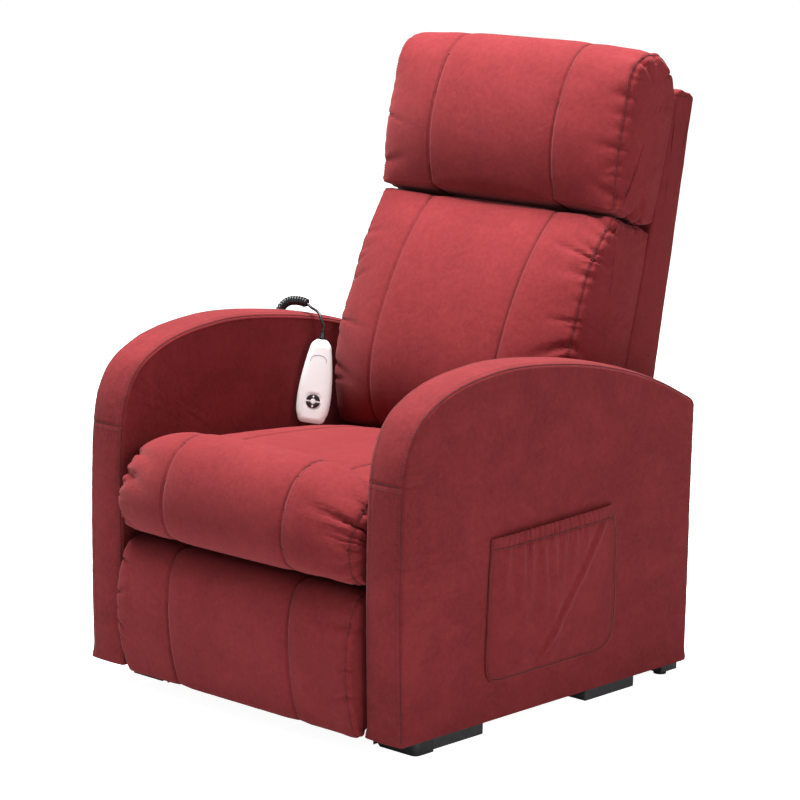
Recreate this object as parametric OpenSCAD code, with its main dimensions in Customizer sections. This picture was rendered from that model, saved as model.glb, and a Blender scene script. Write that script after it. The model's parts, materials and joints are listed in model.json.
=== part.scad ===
// Lift recliner chair: a steel lift base carries an upholstered chair body
// on two pairs of swinging links; the footrest folds out on a pantograph and
// the backrest reclines on two side pivots. Millimetres, +Z up, the chair
// faces -Y, origin on the floor under the middle of the overall box.
// Left and right are the sitter's: right is -X.

/* [Chair body] */
// Overall width across the two arms
overall_w = 700; // [680:5:720]
// Thickness of one upholstered arm
arm_t = 75; // [72:1:80]
// Foam and fabric thickness on the arm faces
arm_foam = 12; // [8:1:14]
// Width of the backrest shell
back_w = 524; // [510:2:528]
// Thickness of the backrest side and rear skins
skin_t = 8; // [5:0.5:9]
// Plywood thickness of the arm panels
ply_t = 9; // [6:0.5:12]

/* [Lift base] */
// Square tube size of the base and lift frame
tube = 25; // [22:1:26]
// Height of the base tubes over the floor
base_z = 25; // [24:0.5:26]

/* [Linkage] */
// Thickness of the link bars
link_t = 5; // [4:0.5:5]
// Width of the footrest link bars
link_w = 22; // [18:1:23]
// Radius of the footrest rivets
rivet_r = 4; // [3:0.5:4.5]
// Radius of the lift pivot pins
pin_r = 6; // [5:0.5:7]
// Radial running clearance at a pivot
run = 0.05; // [0.02:0.01:0.1]
// Radial clearance of the pivots that close a loop
loop_gap = 1.8; // [1.7:0.1:2.5]

/* [Seat] */
// Number of zigzag seat springs
spring_n = 4; // [3:1:5]
// Wire radius of the seat springs
wire_r = 1.9; // [1.5:0.1:2]

/* [Hidden] */
$fn = 48;

// Pivots in side view, [y, z]. Lift linkage:
main_base_at = [-155, 100];
main_frame_at = [260, 92];
front_base_at = [-240, 96];
front_frame_at = [59.1, 90];
torque_at = [130, 95];
// footrest pantograph, each named by the two parts it joins
rail_upper_at = [-188, 258];
rail_drive_at = [-216.9, 199.9];
upper_lower_at = [-148, 104];
upper_stay_at = [-139.2, 70.1];
drive_lower_at = [-175.6, 58.1];
lower_bracket_at = [-312, 216];
stay_bracket_at = [-304.4, 179.5];
// backrest and the two ends of the actuator
recline_at = [175, 285];
act_base_at = [-270, 80];
act_drive_at = [-28, 209];

// bolts that hold an arm to the lift frame, [y, z]
arm_bolts_at = [[-262, 262], [0, 250], [98, 250]];

// Planes across the width, as distances from the middle
outer_x = overall_w/2;       // outer face of an arm
inner_x = outer_x - arm_t;   // inner face of an arm
rail_in = inner_x - 6.5;     // side rail of the lift frame
rail_out = inner_x - 2.5;
drive_in = inner_x - 12;     // footrest drive link
drive_out = drive_in + link_t;
stay_in = inner_x - 18;      // footrest stay link
stay_out = stay_in + link_t;
upper_in = inner_x - 24;     // footrest upper link and bracket
upper_out = upper_in + link_t;
lower_in = inner_x - 30;     // footrest lower link
lower_out = lower_in + link_t;
lift_plate = 5;              // thickness of lift links, ears and hangers
main_in = inner_x - 46.5;    // main lift link
main_out = main_in + lift_plate;
hang_in = inner_x - 53;      // base ears and hanger plates
hang_out = hang_in + lift_plate;
front_in = inner_x - 59.5;   // front lift link
front_out = front_in + lift_plate;

// Pins are drawn a little under the holes they sit in
pin_shank = pin_r - 0.02;
pin_head = pin_r + 3;
rivet_shank = rivet_r - 0.02;
rivet_head = rivet_r + 3;
act_pin_r = 5;

// Colours used by several nodes
pin_steel = [0.7, 0.7, 0.72];
black_steel = [0.12, 0.12, 0.13];
link_steel = [0.15, 0.15, 0.16];
foot_black = [0.13, 0.13, 0.14];
case_black = [0.09, 0.09, 0.10];
wood = [0.72, 0.55, 0.36];
arm_red = [0.55, 0.09, 0.13];
cushion_red = [0.58, 0.10, 0.14];
shell_red = [0.50, 0.08, 0.12];

// ---------- helpers ----------
module both() {
  children();
  mirror([1, 0, 0]) children();
}

// side view outline extruded from x0 to x1
module yz(x0, x1) {
  translate([x0, 0, 0]) rotate([90, 0, 90]) linear_extrude(x1 - x0) children();
}

// cylinder along x at side view point at
module cyl_x(x0, x1, at, r) {
  translate([x0, at[0], at[1]]) rotate([0, 90, 0]) cylinder(h = x1 - x0, r = r);
}

// box between two opposite corners
module box(low, high) {
  translate(low) cube(high - low);
}

// shank with heads and collars, rows of [x0, x1, radius]
module pin(x0, x1, at, r, heads) {
  union() {
    cyl_x(x0, x1, at, r);
    for (h = heads) cyl_x(h[0], h[1], at, h[2]);
  }
}

// flat bar between two points with round ends
module bar(from, to, w) {
  along = (to - from)/norm(to - from);
  side = [-along[1], along[0]]*(w/2 - 0.3);
  disc(from, w/2);
  disc(to, w/2);
  polygon([from + side, to + side, to - side, from - side]);
}

module disc(at, r) {
  translate(at) circle(r = r);
}

// square tube along x, centred across the width
tube_wall = 2;
module tube_x(half, y, z) {
  difference() {
    box([-half, y, z], [half, y + tube, z + tube]);
    box([-half - 1, y + tube_wall, z + tube_wall],
        [half + 1, y + tube - tube_wall, z + tube - tube_wall]);
  }
}

// flat strip of half width r that follows a path
module ribbon(path, r) {
  last = len(path) - 1;
  normals = [for (i = [0:last])
    let (span = path[min(i + 1, last)] - path[max(i - 1, 0)], dir = span/norm(span))
    [-dir[1], dir[0]]];
  polygon(concat([for (i = [0:last]) path[i] + r*normals[i]],
                 [for (i = [last:-1:0]) path[i] - r*normals[i]]));
}

// section with both edges rounded off; edge rows are [inset from the side, height]
function crowned(half, foot, edge) = concat(
  [[-half, foot]],
  [for (e = edge) [-half + e[0], e[1]]],
  [for (i = [len(edge) - 1:-1:0]) [half - edge[i][0], edge[i][1]]],
  [[half, foot]]);

// the two actuator ears, x off the middle, with a hole at the pin
module act_ears(x, at) {
  for (s = [-1, 1]) difference() {
    yz(s*x - 2.5, s*x + 2.5) children();
    cyl_x(s*x - 4, s*x + 4, at, act_pin_r + 0.02);
  }
}

// ---------- base ----------
front_tube_y = -290;
rear_tube_y = 290;
base_rail_x = hang_in - 20;
tray_z = base_z + 5;         // top of the tray for the electric boxes
strap_t = 3;
strap_half = 16;
strap_end = inner_x + 32;
side_feet_y = [[-269, -143], [113, 243]];
foot_front = -311;
foot_end = inner_x + 50;
foot_corner_r = 10;
glide_at = [inner_x + 25, 338];   // [x, y]

function middle(span) = (span[0] + span[1])/2;

// pivot ear, [y, z over the underside of the ear]
ear_pts = [[-262, 0], [-262, 30], [-254, 62], [-170, 66], [-140, 62], [-134, 0]];

module base_frame() color([0.10, 0.10, 0.11]) union() {
  for (y = [front_tube_y, rear_tube_y]) tube_x(inner_x - 4, y, base_z);
  // side rails
  both() box([base_rail_x, front_tube_y + tube - 0.5, base_z],
             [base_rail_x + tube, rear_tube_y + 0.5, base_z + tube]);
  // pivot ears for the lift links
  both() difference() {
    yz(hang_in, hang_out) polygon([for (p = ear_pts) p + [0, base_z + tube - 1]]);
    for (at = [main_base_at, front_base_at]) cyl_x(hang_in - 1, hang_out + 1, at, pin_r);
  }
  // outrigger straps to the side feet
  for (span = side_feet_y)
    both() box([base_rail_x + tube - 1, middle(span) - strap_half, base_z],
               [strap_end, middle(span) + strap_half, base_z + strap_t]);
  // actuator trunnion ears on the front tube
  act_ears(15, act_base_at) union() {
    disc(act_base_at, 14);
    polygon([[front_tube_y + 1, base_z + 5], [front_tube_y + tube - 1, base_z + 5],
             act_base_at + [14, 0], act_base_at - [14, 0]]);
  }
  // tray
  box([-(base_rail_x + 1), 150, tray_z - 3], [base_rail_x + 1, 280, tray_z]);
}

module front_foot() difference() {
  union() {
    box([inner_x - 40, foot_front, 0], [foot_end, -269.5, base_z - 0.5]);
    box([inner_x - 2, foot_front, base_z - 1], [foot_end, -283, 31]);
  }
  // chamfer on the inner end
  translate([inner_x - 40, foot_front - 1, 0]) rotate([0, 45, 0]) cube([10, 60, 10]);
  // rounded outer front corner
  difference() {
    box([foot_end - foot_corner_r, foot_front - 1, -1],
        [foot_end + 1, foot_front + foot_corner_r, 33]);
    translate([foot_end - foot_corner_r, foot_front + foot_corner_r, -2])
      cylinder(h = 40, r = foot_corner_r);
  }
}
module front_feet() color(foot_black) both() front_foot();

// block with a slot that takes the outrigger strap
module side_foot(span) difference() {
  slot_half = strap_half + 0.5;
  box([inner_x - 1, span[0], 0], [inner_x + 43, span[1], 31]);
  box([inner_x - 3, middle(span) - slot_half, base_z - 0.4],
      [strap_end + 1, middle(span) + slot_half, base_z + strap_t + 0.4]);
}
module side_feet() color([0.26, 0.26, 0.27]) both() for (span = side_feet_y) side_foot(span);

module rear_foot() difference() {
  union() {
    box([inner_x - 30, rear_tube_y, 7], [inner_x - 4, 322, base_z - 0.5]);
    box([inner_x - 30, 318, 7], [inner_x + 43, 361, 30]);
  }
  translate([glide_at[0], glide_at[1], 6]) cylinder(h = 5, r = 4.1);
}
module rear_feet() color(foot_black) both() rear_foot();

module foot_glides() color([0.05, 0.05, 0.05]) both() translate(glide_at) union() {
  cylinder(h = 6.8, r = 11);
  cylinder(h = 10.5, r = 4);
}

// pin of a main link; collar is how far its inner collar reaches
module main_pin(at, collar)
  pin(hang_in - 1, main_out + 1, at, pin_shank,
      [[main_out + 0.8, main_out + 3.5, pin_head],
       [hang_in - collar, hang_in - 0.3, pin_head]]);

// pin of a front link; collar is how far its outer collar reaches
module front_pin(at, collar, head_r)
  pin(front_in - 1, hang_out + 1, at, pin_shank,
      [[front_in - 3.5, front_in - 0.8, head_r],
       [hang_out + 0.3, hang_out + collar, pin_head]]);

module lift_base_pins() color(pin_steel) both() {
  main_pin(main_base_at, 1.2);
  front_pin(front_base_at, 3.2, pin_head);
}

// ---------- electric boxes ----------
// opposite corners of each box, standing just over the tray
supply_low = [40, 160, tray_z + 0.3];
supply_high = [180, 230, 78];
control_low = [-180, 160, tray_z + 0.3];
control_high = [-50, 225, 70];
case_wall = 2;

// thin-walled box, open at the top
module open_box(low, high) difference() {
  box(low, high);
  box(low + case_wall*[1, 1, 1], high + [-case_wall, -case_wall, 1]);
}
module lid(low, high) box([low[0], low[1], high[2] + 0.2], high + [0, 0, 3.2]);

module power_supply() color(case_black) difference() {
  open_box(supply_low, supply_high);
  // mains inlet on the rear wall
  box([90, 226, 45], [112, 231, 60]);
}
module control_box() color(black_steel) open_box(control_low, control_high);
module box_lids() color(black_steel) {
  lid(supply_low, supply_high);
  lid(control_low, control_high);
}

// ---------- lift links ----------
main_knee_at = [40, 97];
torque_spigot_r = 11;

module lift_main_links() color(black_steel) both() yz(main_in, main_out) difference() {
  union() {
    bar(main_base_at, main_knee_at, 30);
    bar(main_knee_at, main_frame_at, 30);
    disc(torque_at, 17);
  }
  disc(main_base_at, pin_r + run);
  disc(main_frame_at, pin_r + run);
  disc(torque_at, torque_spigot_r + 0.05);
}

// joins the two main links, a thinner spigot in each
module lift_torque_tube() color([0.14, 0.14, 0.15]) difference() {
  union() {
    cyl_x(-(main_in - 0.3), main_in - 0.3, torque_at, 12.5);
    both() cyl_x(main_in - 1, main_out + 1.5, torque_at, torque_spigot_r);
  }
  cyl_x(-inner_x, inner_x, torque_at, 9);
}

module lift_front_links() color(black_steel) both() yz(front_in, front_out) difference() {
  union() {
    bar(front_base_at, front_frame_at, 28);
    disc(front_frame_at, 16);
  }
  disc(front_base_at, pin_r + run);
  disc(front_frame_at, pin_r + loop_gap);
}

// ---------- lift frame ----------
// side view outlines, [y, z]
side_rail_pts = [[-296, 236], [-296, 292], [206, 292], [214, 284], [214, 200], [206, 190],
  [-236, 186], [-244, 200]];
hanger_pts = [[38, 72], [82, 72], [100, 120], [180, 140], [236, 76], [282, 76], [284, 112],
  [236, 196.5], [205, 200], [34, 200], [36, 110]];
clevis_pts = [[-100.5, 263], [-75, 262], [-28, 236], [31, 221], [31, 197], [-20, 194],
  [-44, 196], [-46, 214], [-86, 262]];
// cross tubes, [y, z] of the lower front edge
cross_tubes = [[30, 196], [186, 196], [-100, 262]];

module lift_frame() color([0.11, 0.11, 0.12]) union() {
  // side rails: tall webs with a lug at the recline pivot
  both() difference() {
    yz(rail_in, rail_out) union() {
      polygon(side_rail_pts);
      disc(recline_at, 18);
      disc(rail_drive_at, 16);
    }
    for (at = [rail_upper_at, rail_drive_at]) cyl_x(rail_in - 1, rail_out + 1, at, rivet_r);
    cyl_x(rail_in - 1, rail_out + 1, recline_at, pin_r);
    for (at = arm_bolts_at) cyl_x(rail_in - 1, rail_out + 1, at, 4.2);
  }
  for (t = cross_tubes) tube_x(rail_in + 0.5, t[0], t[1]);
  // hanger plates for the lift links
  both() difference() {
    yz(hang_in, hang_out) polygon(hanger_pts);
    for (at = [main_frame_at, front_frame_at]) cyl_x(hang_in - 1, hang_out + 1, at, pin_r);
  }
  // drive clevis between the cross tubes
  act_ears(22, act_drive_at) polygon(clevis_pts);
}

// actuator pin with a head at each end
module act_pin(at, half, head_in, head_out)
  pin(-half, half, at, act_pin_r, [[head_in, head_out, 8], [-head_out, -head_in, 8]]);

module lift_hanger_pins() color(pin_steel) {
  both() {
    main_pin(main_frame_at, 3.2);
    front_pin(front_frame_at, 1.2, pin_r + 4.5);
  }
  act_pin(act_drive_at, 26, 24.8, 28);
}

// ---------- seat rails and springs ----------
seat_rail_t = 20;
seat_rail_top = 298;
front_rail_y = -318;
rear_rail_y = 118;
clip_front_y = front_rail_y + seat_rail_t/2;
clip_rear_y = rear_rail_y + seat_rail_t/2;
spring_waves = 11;
spring_amp = 20;
spring_pitch = 112;
spring_xs = [for (i = [0:spring_n - 1]) (i - (spring_n - 1)/2)*spring_pitch];

module seat_rail(y) box([-(rail_in - 0.5), y, 246],
                        [rail_in - 0.5, y + seat_rail_t, seat_rail_top]);
module front_seat_rail() color(wood) seat_rail(front_rail_y);
module rear_seat_rail() color(wood) seat_rail(rear_rail_y);

// a serpentine of square wire lying flat, eight points to a wave
module zigzag(x, y0, y1, z) {
  steps = spring_waves*8;
  translate([0, 0, z - wire_r]) linear_extrude(2*wire_r)
    ribbon([for (i = [0:steps]) [x + spring_amp*sin(45*i), y0 + (y1 - y0)*i/steps]], wire_r);
}
module seat_springs() color([0.75, 0.76, 0.78])
  for (x = spring_xs) zigzag(x, clip_front_y + 2, clip_rear_y - 2, seat_rail_top + 3.6);

module spring_clips() color([0.6, 0.6, 0.62])
  for (x = spring_xs) for (y = [clip_front_y, clip_rear_y])
    box([x - 8, y - 7, seat_rail_top + 0.1], [x + 8, y + 7, seat_rail_top + 1.5]);

// ---------- arms ----------
// outside of an arm, [y, z], from the bottom front corner round to the bottom rear
arm_pts = [[-374, 34], [-379, 120], [-382, 220], [-383, 330], [-382, 400], [-380, 440],
  [-375, 472], [-367, 500], [-356, 521], [-336, 543], [-312, 559], [-282, 573], [-240, 585],
  [-196, 592], [-139, 596], [-81, 595], [-15, 589], [52, 581], [121, 567], [192, 548],
  [265, 522], [334, 490], [341, 485], [346, 475], [343, 264], [338, 34]];
// inside of the cover, in the same order
arm_void_pts = [[-358, 34], [-364, 220], [-364, 400], [-360, 450], [-350, 490], [-336, 514],
  [-300, 546], [-240, 565], [-139, 576], [-15, 569], [121, 547], [265, 502], [324, 474],
  [324, 264], [321, 34]];
arm_window_pts = [[-300, 290], [-300, 440], [-250, 510], [-100, 520], [100, 500], [250, 450],
  [250, 290]];
// timbers between the panels: sill, front post, rear post and bolt rail
arm_timbers = [
  [[-355, 37], [318, 37], [318, 80], [-355, 80]],
  [[-355, 79], [-320, 79], [-320, 440], [-358, 440]],
  [[285, 79], [318, 79], [318, 460], [285, 470]],
  [[-200, 240], [200, 240], [200, 275], [-200, 275]]];

// the void outline scaled in y, its bottom moved to floor_z and the rest lowered
function arm_void(y_scale, floor_z, lower) =
  [for (p = arm_void_pts) [p[0]*y_scale, p[1] < 40 ? floor_z : p[1] - lower]];

module arm_cover() difference() {
  yz(inner_x, outer_x) polygon(arm_pts);
  yz(inner_x + arm_foam, outer_x - arm_foam) polygon(arm_void(1, 33, 0));
  for (at = arm_bolts_at) cyl_x(inner_x - 1, inner_x + arm_foam + 1, at, 4.6);
}

module arm_frame() difference() {
  frame_in = inner_x + arm_foam + 0.5;
  frame_out = outer_x - arm_foam - 0.5;
  union() {
    // two plywood panels with a window
    for (x = [frame_in, frame_out - ply_t]) yz(x, x + ply_t) difference() {
      polygon(arm_void(0.992, 36, 2));
      polygon(arm_window_pts);
    }
    yz(frame_in + 1, frame_out - 1) for (timber = arm_timbers) polygon(timber);
  }
  for (at = arm_bolts_at) cyl_x(frame_in - 1, frame_in + ply_t + 20, at, 4.1);
}

module right_arm_frame() color(wood) mirror([1, 0, 0]) arm_frame();
module left_arm_frame() color(wood) arm_frame();
module right_arm_cover() color(arm_red) mirror([1, 0, 0]) arm_cover();
module left_arm_cover() color(arm_red) arm_cover();

module arm_bolts() color(pin_steel) both() for (at = arm_bolts_at)
  pin(rail_in - 1, inner_x + arm_foam + ply_t + 12, at, 4, [[rail_in - 5, rail_in - 0.2, 7]]);

// ---------- seat ----------
seat_half = inner_x - 9;
// side view of the seat cushion, [y, z]
seat_pts = [[-322, 274], [-322, 303], [-314, 305], [104, 305], [112, 318], [112, 368],
  [104, 382], [60, 391], [20, 394], [-60, 406], [-190, 418], [-250, 424], [-290, 433],
  [-330, 441], [-362, 438], [-390, 423], [-410, 400], [-423, 370], [-427, 340], [-423, 310],
  [-410, 286], [-390, 273], [-360, 269]];
// fall of the top towards the sides, [inset, z]
seat_edge = [[0, 384], [20, 397], [42, 412], [76, 432], [130, 445]];
pocket_pts = [[-179, 332], [119, 338], [133, 300], [133, 170], [124, 118], [100, 98],
  [-160, 97], [-180, 108], [-188, 130], [-187, 230]];

module seat_cushion() color(cushion_red) intersection() {
  yz(-seat_half, seat_half) polygon(seat_pts);
  translate([0, 130, 0]) rotate([90, 0, 0]) linear_extrude(570)
    polygon(crowned(seat_half, 260, seat_edge));
}
module rear_skirt() color(shell_red) box([-(inner_x - 3), 322, 40], [inner_x - 3, 332, 196]);

// on the outer face of the left arm
module side_pocket() color(arm_red) yz(outer_x + 0.2, outer_x + 6) polygon(pocket_pts);

// ---------- handset ----------
// Local frame: z along the length, 0 at mid length, face towards -y
handset_pos = [-241.5, 42.5, 468];
handset_rot = [-6, 6.5, 38];
handset_h = 146;
handset_t = 11;      // depth of each half shell
button_z = -34;      // centre of the button ring

// half width along the length, t from 0 at the foot to 1 at the top
function handset_half(t) =
  (15 + 12.5*pow(sin(180*pow(t, 0.62)), 0.8) + (t < 0.12 ? 3*(t/0.12) : 3) - 3*t)
  *(t < 0.06 ? sqrt(t/0.06)*0.35 + 0.65 : 1);
handset_pts = concat(
  [for (i = [0:24]) let (t = i/24) [handset_half(t), (t - 0.5)*handset_h]],
  [for (i = [24:-1:0]) let (t = i/24) [-handset_half(t), (t - 0.5)*handset_h]]);

module handset_place() translate(handset_pos) rotate(handset_rot) children();

// face view outline extruded from y0 to y1
module through(y0, y1)
  rotate([90, 0, 0]) translate([0, 0, -y1]) linear_extrude(y1 - y0) children();
module handset_slab(y0, y1, s = 1) through(y0, y1) scale([s, s]) polygon(handset_pts);

// half of the button ring, cut off at gap from its centre; side 1 is the upper half
module half_ring(y0, y1, r, bore_r, gap, side)
  translate([0, 0, button_z]) through(y0, y1) difference() {
    circle(r = r);
    circle(r = bore_r);
    translate([-20, side > 0 ? gap - 40 : -gap]) square([40, 40]);
  }

module handset_front() color([0.90, 0.90, 0.88]) handset_place() difference() {
  handset_slab(-handset_t, -0.1);
  handset_slab(-9, 1, 0.9);
  for (side = [-1, 1]) half_ring(-12, -8, 13, 4.2, 0.8, side);
}
module handset_back() color([0.86, 0.86, 0.84]) handset_place() union() {
  difference() {
    handset_slab(0.1, handset_t);
    handset_slab(-1, 9, 0.9);
  }
  // strain relief of the cord, cut clear of the front shell
  difference() {
    translate([0, 0, handset_h/2 - 0.5]) cylinder(h = 9, r = 5.5);
    box([-6, -6, handset_h/2 - 1], [6, 0.1, handset_h/2 + 0.15]);
  }
}
module handset_board() color([0.05, 0.30, 0.14])
  handset_place() box([-14, 1.5, -62], [14, 3.1, 56]);

// button with a stem towards the board
module half_button(side) handset_place() union() {
  half_ring(-11.9, -8.2, 12.6, 4.6, 1.2, side);
  translate([0, -8.5, button_z + side*8.5]) rotate([-90, 0, 0]) cylinder(h = 8.2, r = 2);
}
module button_up() color(case_black) half_button(1);
module button_down() color(case_black) half_button(-1);

cord_r = 2.5;
cord_y = 55;
// cord runs, [x, z]: from the strain relief up onto the arm
cord_up = [[-239.4, 551.5], [-240.5, 560], [-246, 573], [-258, 583.5], [-274, 588.5],
  [-292, 594], [-300, 598]];
// then down the outer face and in under the arm to a cross tube of the lift frame
cord_down = [[-336, 601], [-346, 596], [-352, 588], [-353.6, 576], [-353.8, 40],
  [-352.6, 31.4], [-347, 28.7], [-336, 28.2], [-262, 28.2], [-250, 31], [-244, 38],
  [-242.5, 48], [-242.5, 195.8]];

module handset_cord() color([0.04, 0.04, 0.05]) union() {
  for (path = [cord_up, cord_down])
    translate([0, cord_y + cord_r, 0]) rotate([90, 0, 0]) linear_extrude(2*cord_r)
      ribbon(path, cord_r);
  // the coiled stretch on top of the arm
  translate([-338, cord_y, 601]) rotate([0, 90, 0]) cylinder(h = 42, r = 8);
}

// ---------- backrest ----------
back_half = back_w/2;
frame_half = back_half - skin_t - 0.5;   // outer face of the back frame
back_z0 = 330;                           // bottom of the back cushion

// points on the sloping front and rear faces of the shell, moved by off in y
function front_pt(z, off = 0) = [203 + 0.25*(z - 300) + off, z];
function rear_pt(z, off = 0) = [307 + 0.173*(z - 290) + off, z];
// strip of height h and thickness t that lies along the front face
function front_strip(z, h, off, t) =
  [front_pt(z, off), front_pt(z + h, off), front_pt(z + h, off + t), front_pt(z, off + t)];

// side views, [y, z]
back_pts = [[122, back_z0], [205, back_z0], for (z = [360:60:760]) front_pt(z, -1),
  [318, 764], [311, 762], [266, 773], [228, 789], [214, 784], [192, 764], [160, 731],
  [132, 695], [104, 649], [84, 606], [66, 552], [56, 506], [54, 478], [60, 446], [72, 424],
  [90, 414], [112, 412], [121, 380]];
head_pts = [front_pt(768, -1.5), [311, 767], [268, 779], [226, 797], [212, 810], [202, 840],
  [198, 880], [203, 920], [214, 960], [232, 1002], [256, 1038], [282, 1058], [312, 1065],
  [340, 1057], [358, 1038], [367, 1012], [368, 994],
  front_pt(960, -1), front_pt(900, -1), front_pt(820, -1)];
// fall of the cushion front towards the sides, [inset, y]
back_edge = [[0, 112], [17, 98], [50, 80], [80, 62], [115, 50]];

module back_shell() color(shell_red) difference() {
  yz(-back_half, back_half)
    polygon([front_pt(304), front_pt(990), front_pt(990) + [8, 2], rear_pt(980) + [-8, 5],
      rear_pt(980) - [0, 1], rear_pt(306), rear_pt(306) + [-4, -6], front_pt(304) + [6, -4]]);
  // hollow, open to the front and at the bottom
  yz(-(back_half - skin_t), back_half - skin_t)
    polygon([front_pt(290, -40), front_pt(980, -40), rear_pt(980, -skin_t) - [0, 6],
      rear_pt(290, -skin_t)]);
}

// two uprights joined by four crossbars
module back_frame() color(wood) union() {
  both() yz(frame_half - 24, frame_half - 6)
    polygon([front_pt(310, 2), front_pt(965, 2),
      rear_pt(965, -skin_t - 2), rear_pt(310, -skin_t - 2)]);
  for (z = [326, 560, 770, 940])
    yz(-(frame_half - 23.5), frame_half - 23.5) polygon(front_strip(z, 24, 4, 22));
}

module back_brackets() color([0.55, 0.56, 0.58]) both()
  yz(frame_half - 5.3, frame_half - 0.6) difference() {
    union() {
      disc(recline_at, 16);
      polygon([recline_at + [-12, -10], recline_at + [14, -9], [244, 300], [254, 420],
        front_pt(420, 6), front_pt(320) + [2, 2], recline_at + [4, 16], recline_at + [-8, 14]]);
    }
    disc(recline_at, pin_r + run);
  }

module back_webbing() color(link_steel) for (z = [420, 490, 640, 710, 850, 895])
  yz(-(frame_half - 23), frame_half - 23) polygon(front_strip(z, 35, 0.3, 1.5));

module back_cushion() color(cushion_red) intersection() {
  yz(-back_half, back_half) polygon(back_pts);
  translate([0, 0, back_z0 - 5]) linear_extrude(500) polygon(crowned(back_half, 330, back_edge));
}
module head_cushion() color(cushion_red) yz(-(back_half + 2), back_half + 2) polygon(head_pts);

module recline_pins() color(pin_steel) both()
  pin(frame_half - 7, rail_out + 1.4, recline_at, pin_shank,
      [[rail_out + 0.2, rail_out + 1.8, pin_head],
       [frame_half - 0.2, rail_in - 0.3, pin_head],
       [frame_half - 8.5, frame_half - 5.8, pin_head]]);

// ---------- footrest linkage ----------
module footrest_rivets() color(pin_steel) both() {
  rail_head = [rail_out + 0.2, rail_out + 1.8, rivet_head];
  pin(upper_in, rail_out + 0.5, rail_upper_at, rivet_shank,
      [rail_head, [upper_out + 0.4, rail_in - 0.2, rivet_r + 2]]);
  pin(drive_in - 0.4, rail_out + 0.5, rail_drive_at, rivet_shank,
      [rail_head, [drive_in - 0.8, drive_in - 0.2, rivet_r + 2]]);
}

// rivet from the inner side of the lower link out to x1
module lower_rivet(x1, at, head_r = rivet_head)
  pin(lower_in - 0.4, x1, at, rivet_shank, [[lower_in - 2.6, lower_in - 0.3, head_r]]);

// rivet from the upper link plane through the stay link
module stay_rivet(at)
  pin(upper_in, stay_out + 0.4, at, rivet_shank, [[stay_out + 0.2, stay_out + 0.8, rivet_head]]);

module footrest_upper_links() color(link_steel) both() yz(upper_in, upper_out) difference() {
  union() {
    bar(rail_upper_at, upper_lower_at, link_w);
    bar(upper_lower_at, upper_stay_at, link_w);
  }
  disc(rail_upper_at, rivet_r + run);
  disc(upper_lower_at, rivet_r);
  disc(upper_stay_at, rivet_r);
}
module upper_link_rivets() color(pin_steel) both() {
  lower_rivet(upper_out, upper_lower_at);
  stay_rivet(upper_stay_at);
}

module footrest_drive_links() color(link_steel) both() yz(drive_in, drive_out) difference() {
  bar(rail_drive_at, drive_lower_at, link_w);
  disc(rail_drive_at, rivet_r + run);
  disc(drive_lower_at, rivet_r);
}
module drive_link_rivets() color(pin_steel)
  both() lower_rivet(drive_out, drive_lower_at, rivet_r + 4);

module footrest_lower_links() color(link_steel) both() yz(lower_in, lower_out) difference() {
  union() {
    bar(upper_lower_at, lower_bracket_at, link_w);
    bar(upper_lower_at, drive_lower_at, link_w - 1);
    disc(upper_lower_at, link_w/2 + 2);
  }
  disc(upper_lower_at, rivet_r + run);
  disc(lower_bracket_at, rivet_r + run);
  disc(drive_lower_at, rivet_r + loop_gap - 0.6);
}

module footrest_stay_links() color(link_steel) both() yz(stay_in, stay_out) difference() {
  bar(upper_stay_at, stay_bracket_at, link_w);
  disc(upper_stay_at, rivet_r + run);
  disc(stay_bracket_at, rivet_r + loop_gap - 0.4);
}

// ---------- footrest ----------
bracket_y = -321.5;   // front face of the brackets, just behind the board
bracket_pts = [[bracket_y, 112], [-308, 112], [-291, 168], [-291, 188], [-299, 226],
  [-308, 230], [bracket_y, 230]];
pad_pts = [[-336.5, 46], [-336.5, 254], [-344, 261], [-372, 261], [-394, 252], [-404, 226],
  [-409, 177], [-406, 120], [-397, 74], [-386, 50], [-372, 42], [-350, 41]];

module footrest_brackets() color(link_steel) both() union() {
  difference() {
    yz(upper_in, upper_out) polygon(bracket_pts);
    for (at = [lower_bracket_at, stay_bracket_at])
      cyl_x(upper_in - 1, upper_out + 1, at, rivet_r);
  }
  // flange along the board
  box([upper_in - 32, bracket_y, 113], [upper_in + 0.5, bracket_y + 3, 196]);
}
module bracket_rivets() color(pin_steel) both() {
  lower_rivet(upper_out, lower_bracket_at);
  stay_rivet(stay_bracket_at);
}
module footrest_board() color(wood)
  box([-(inner_x - 33), -335.5, 48], [inner_x - 33, bracket_y - 0.5, 252]);
module footrest_pad() color([0.56, 0.09, 0.13])
  yz(-(inner_x - 10), inner_x - 10) polygon(pad_pts);

// ---------- actuator ----------
// Local frame: origin at the base pin, z along the screw towards the drive pin
act_span = act_drive_at - act_base_at;
act_len = norm(act_span);
act_angle = atan2(act_span[1], act_span[0]);
act_tube_z = 52;      // seat of the outer tube in the housing
motor_x = 45;

module act_place()
  translate([0, act_base_at[0], act_base_at[1]]) rotate([act_angle - 90, 0, 0]) children();

// cylinder across the actuator, centred at height z
module cross_cyl(z, h, r)
  translate([0, 0, z]) rotate([0, 90, 0]) cylinder(h = h, r = r, center = true);

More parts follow.
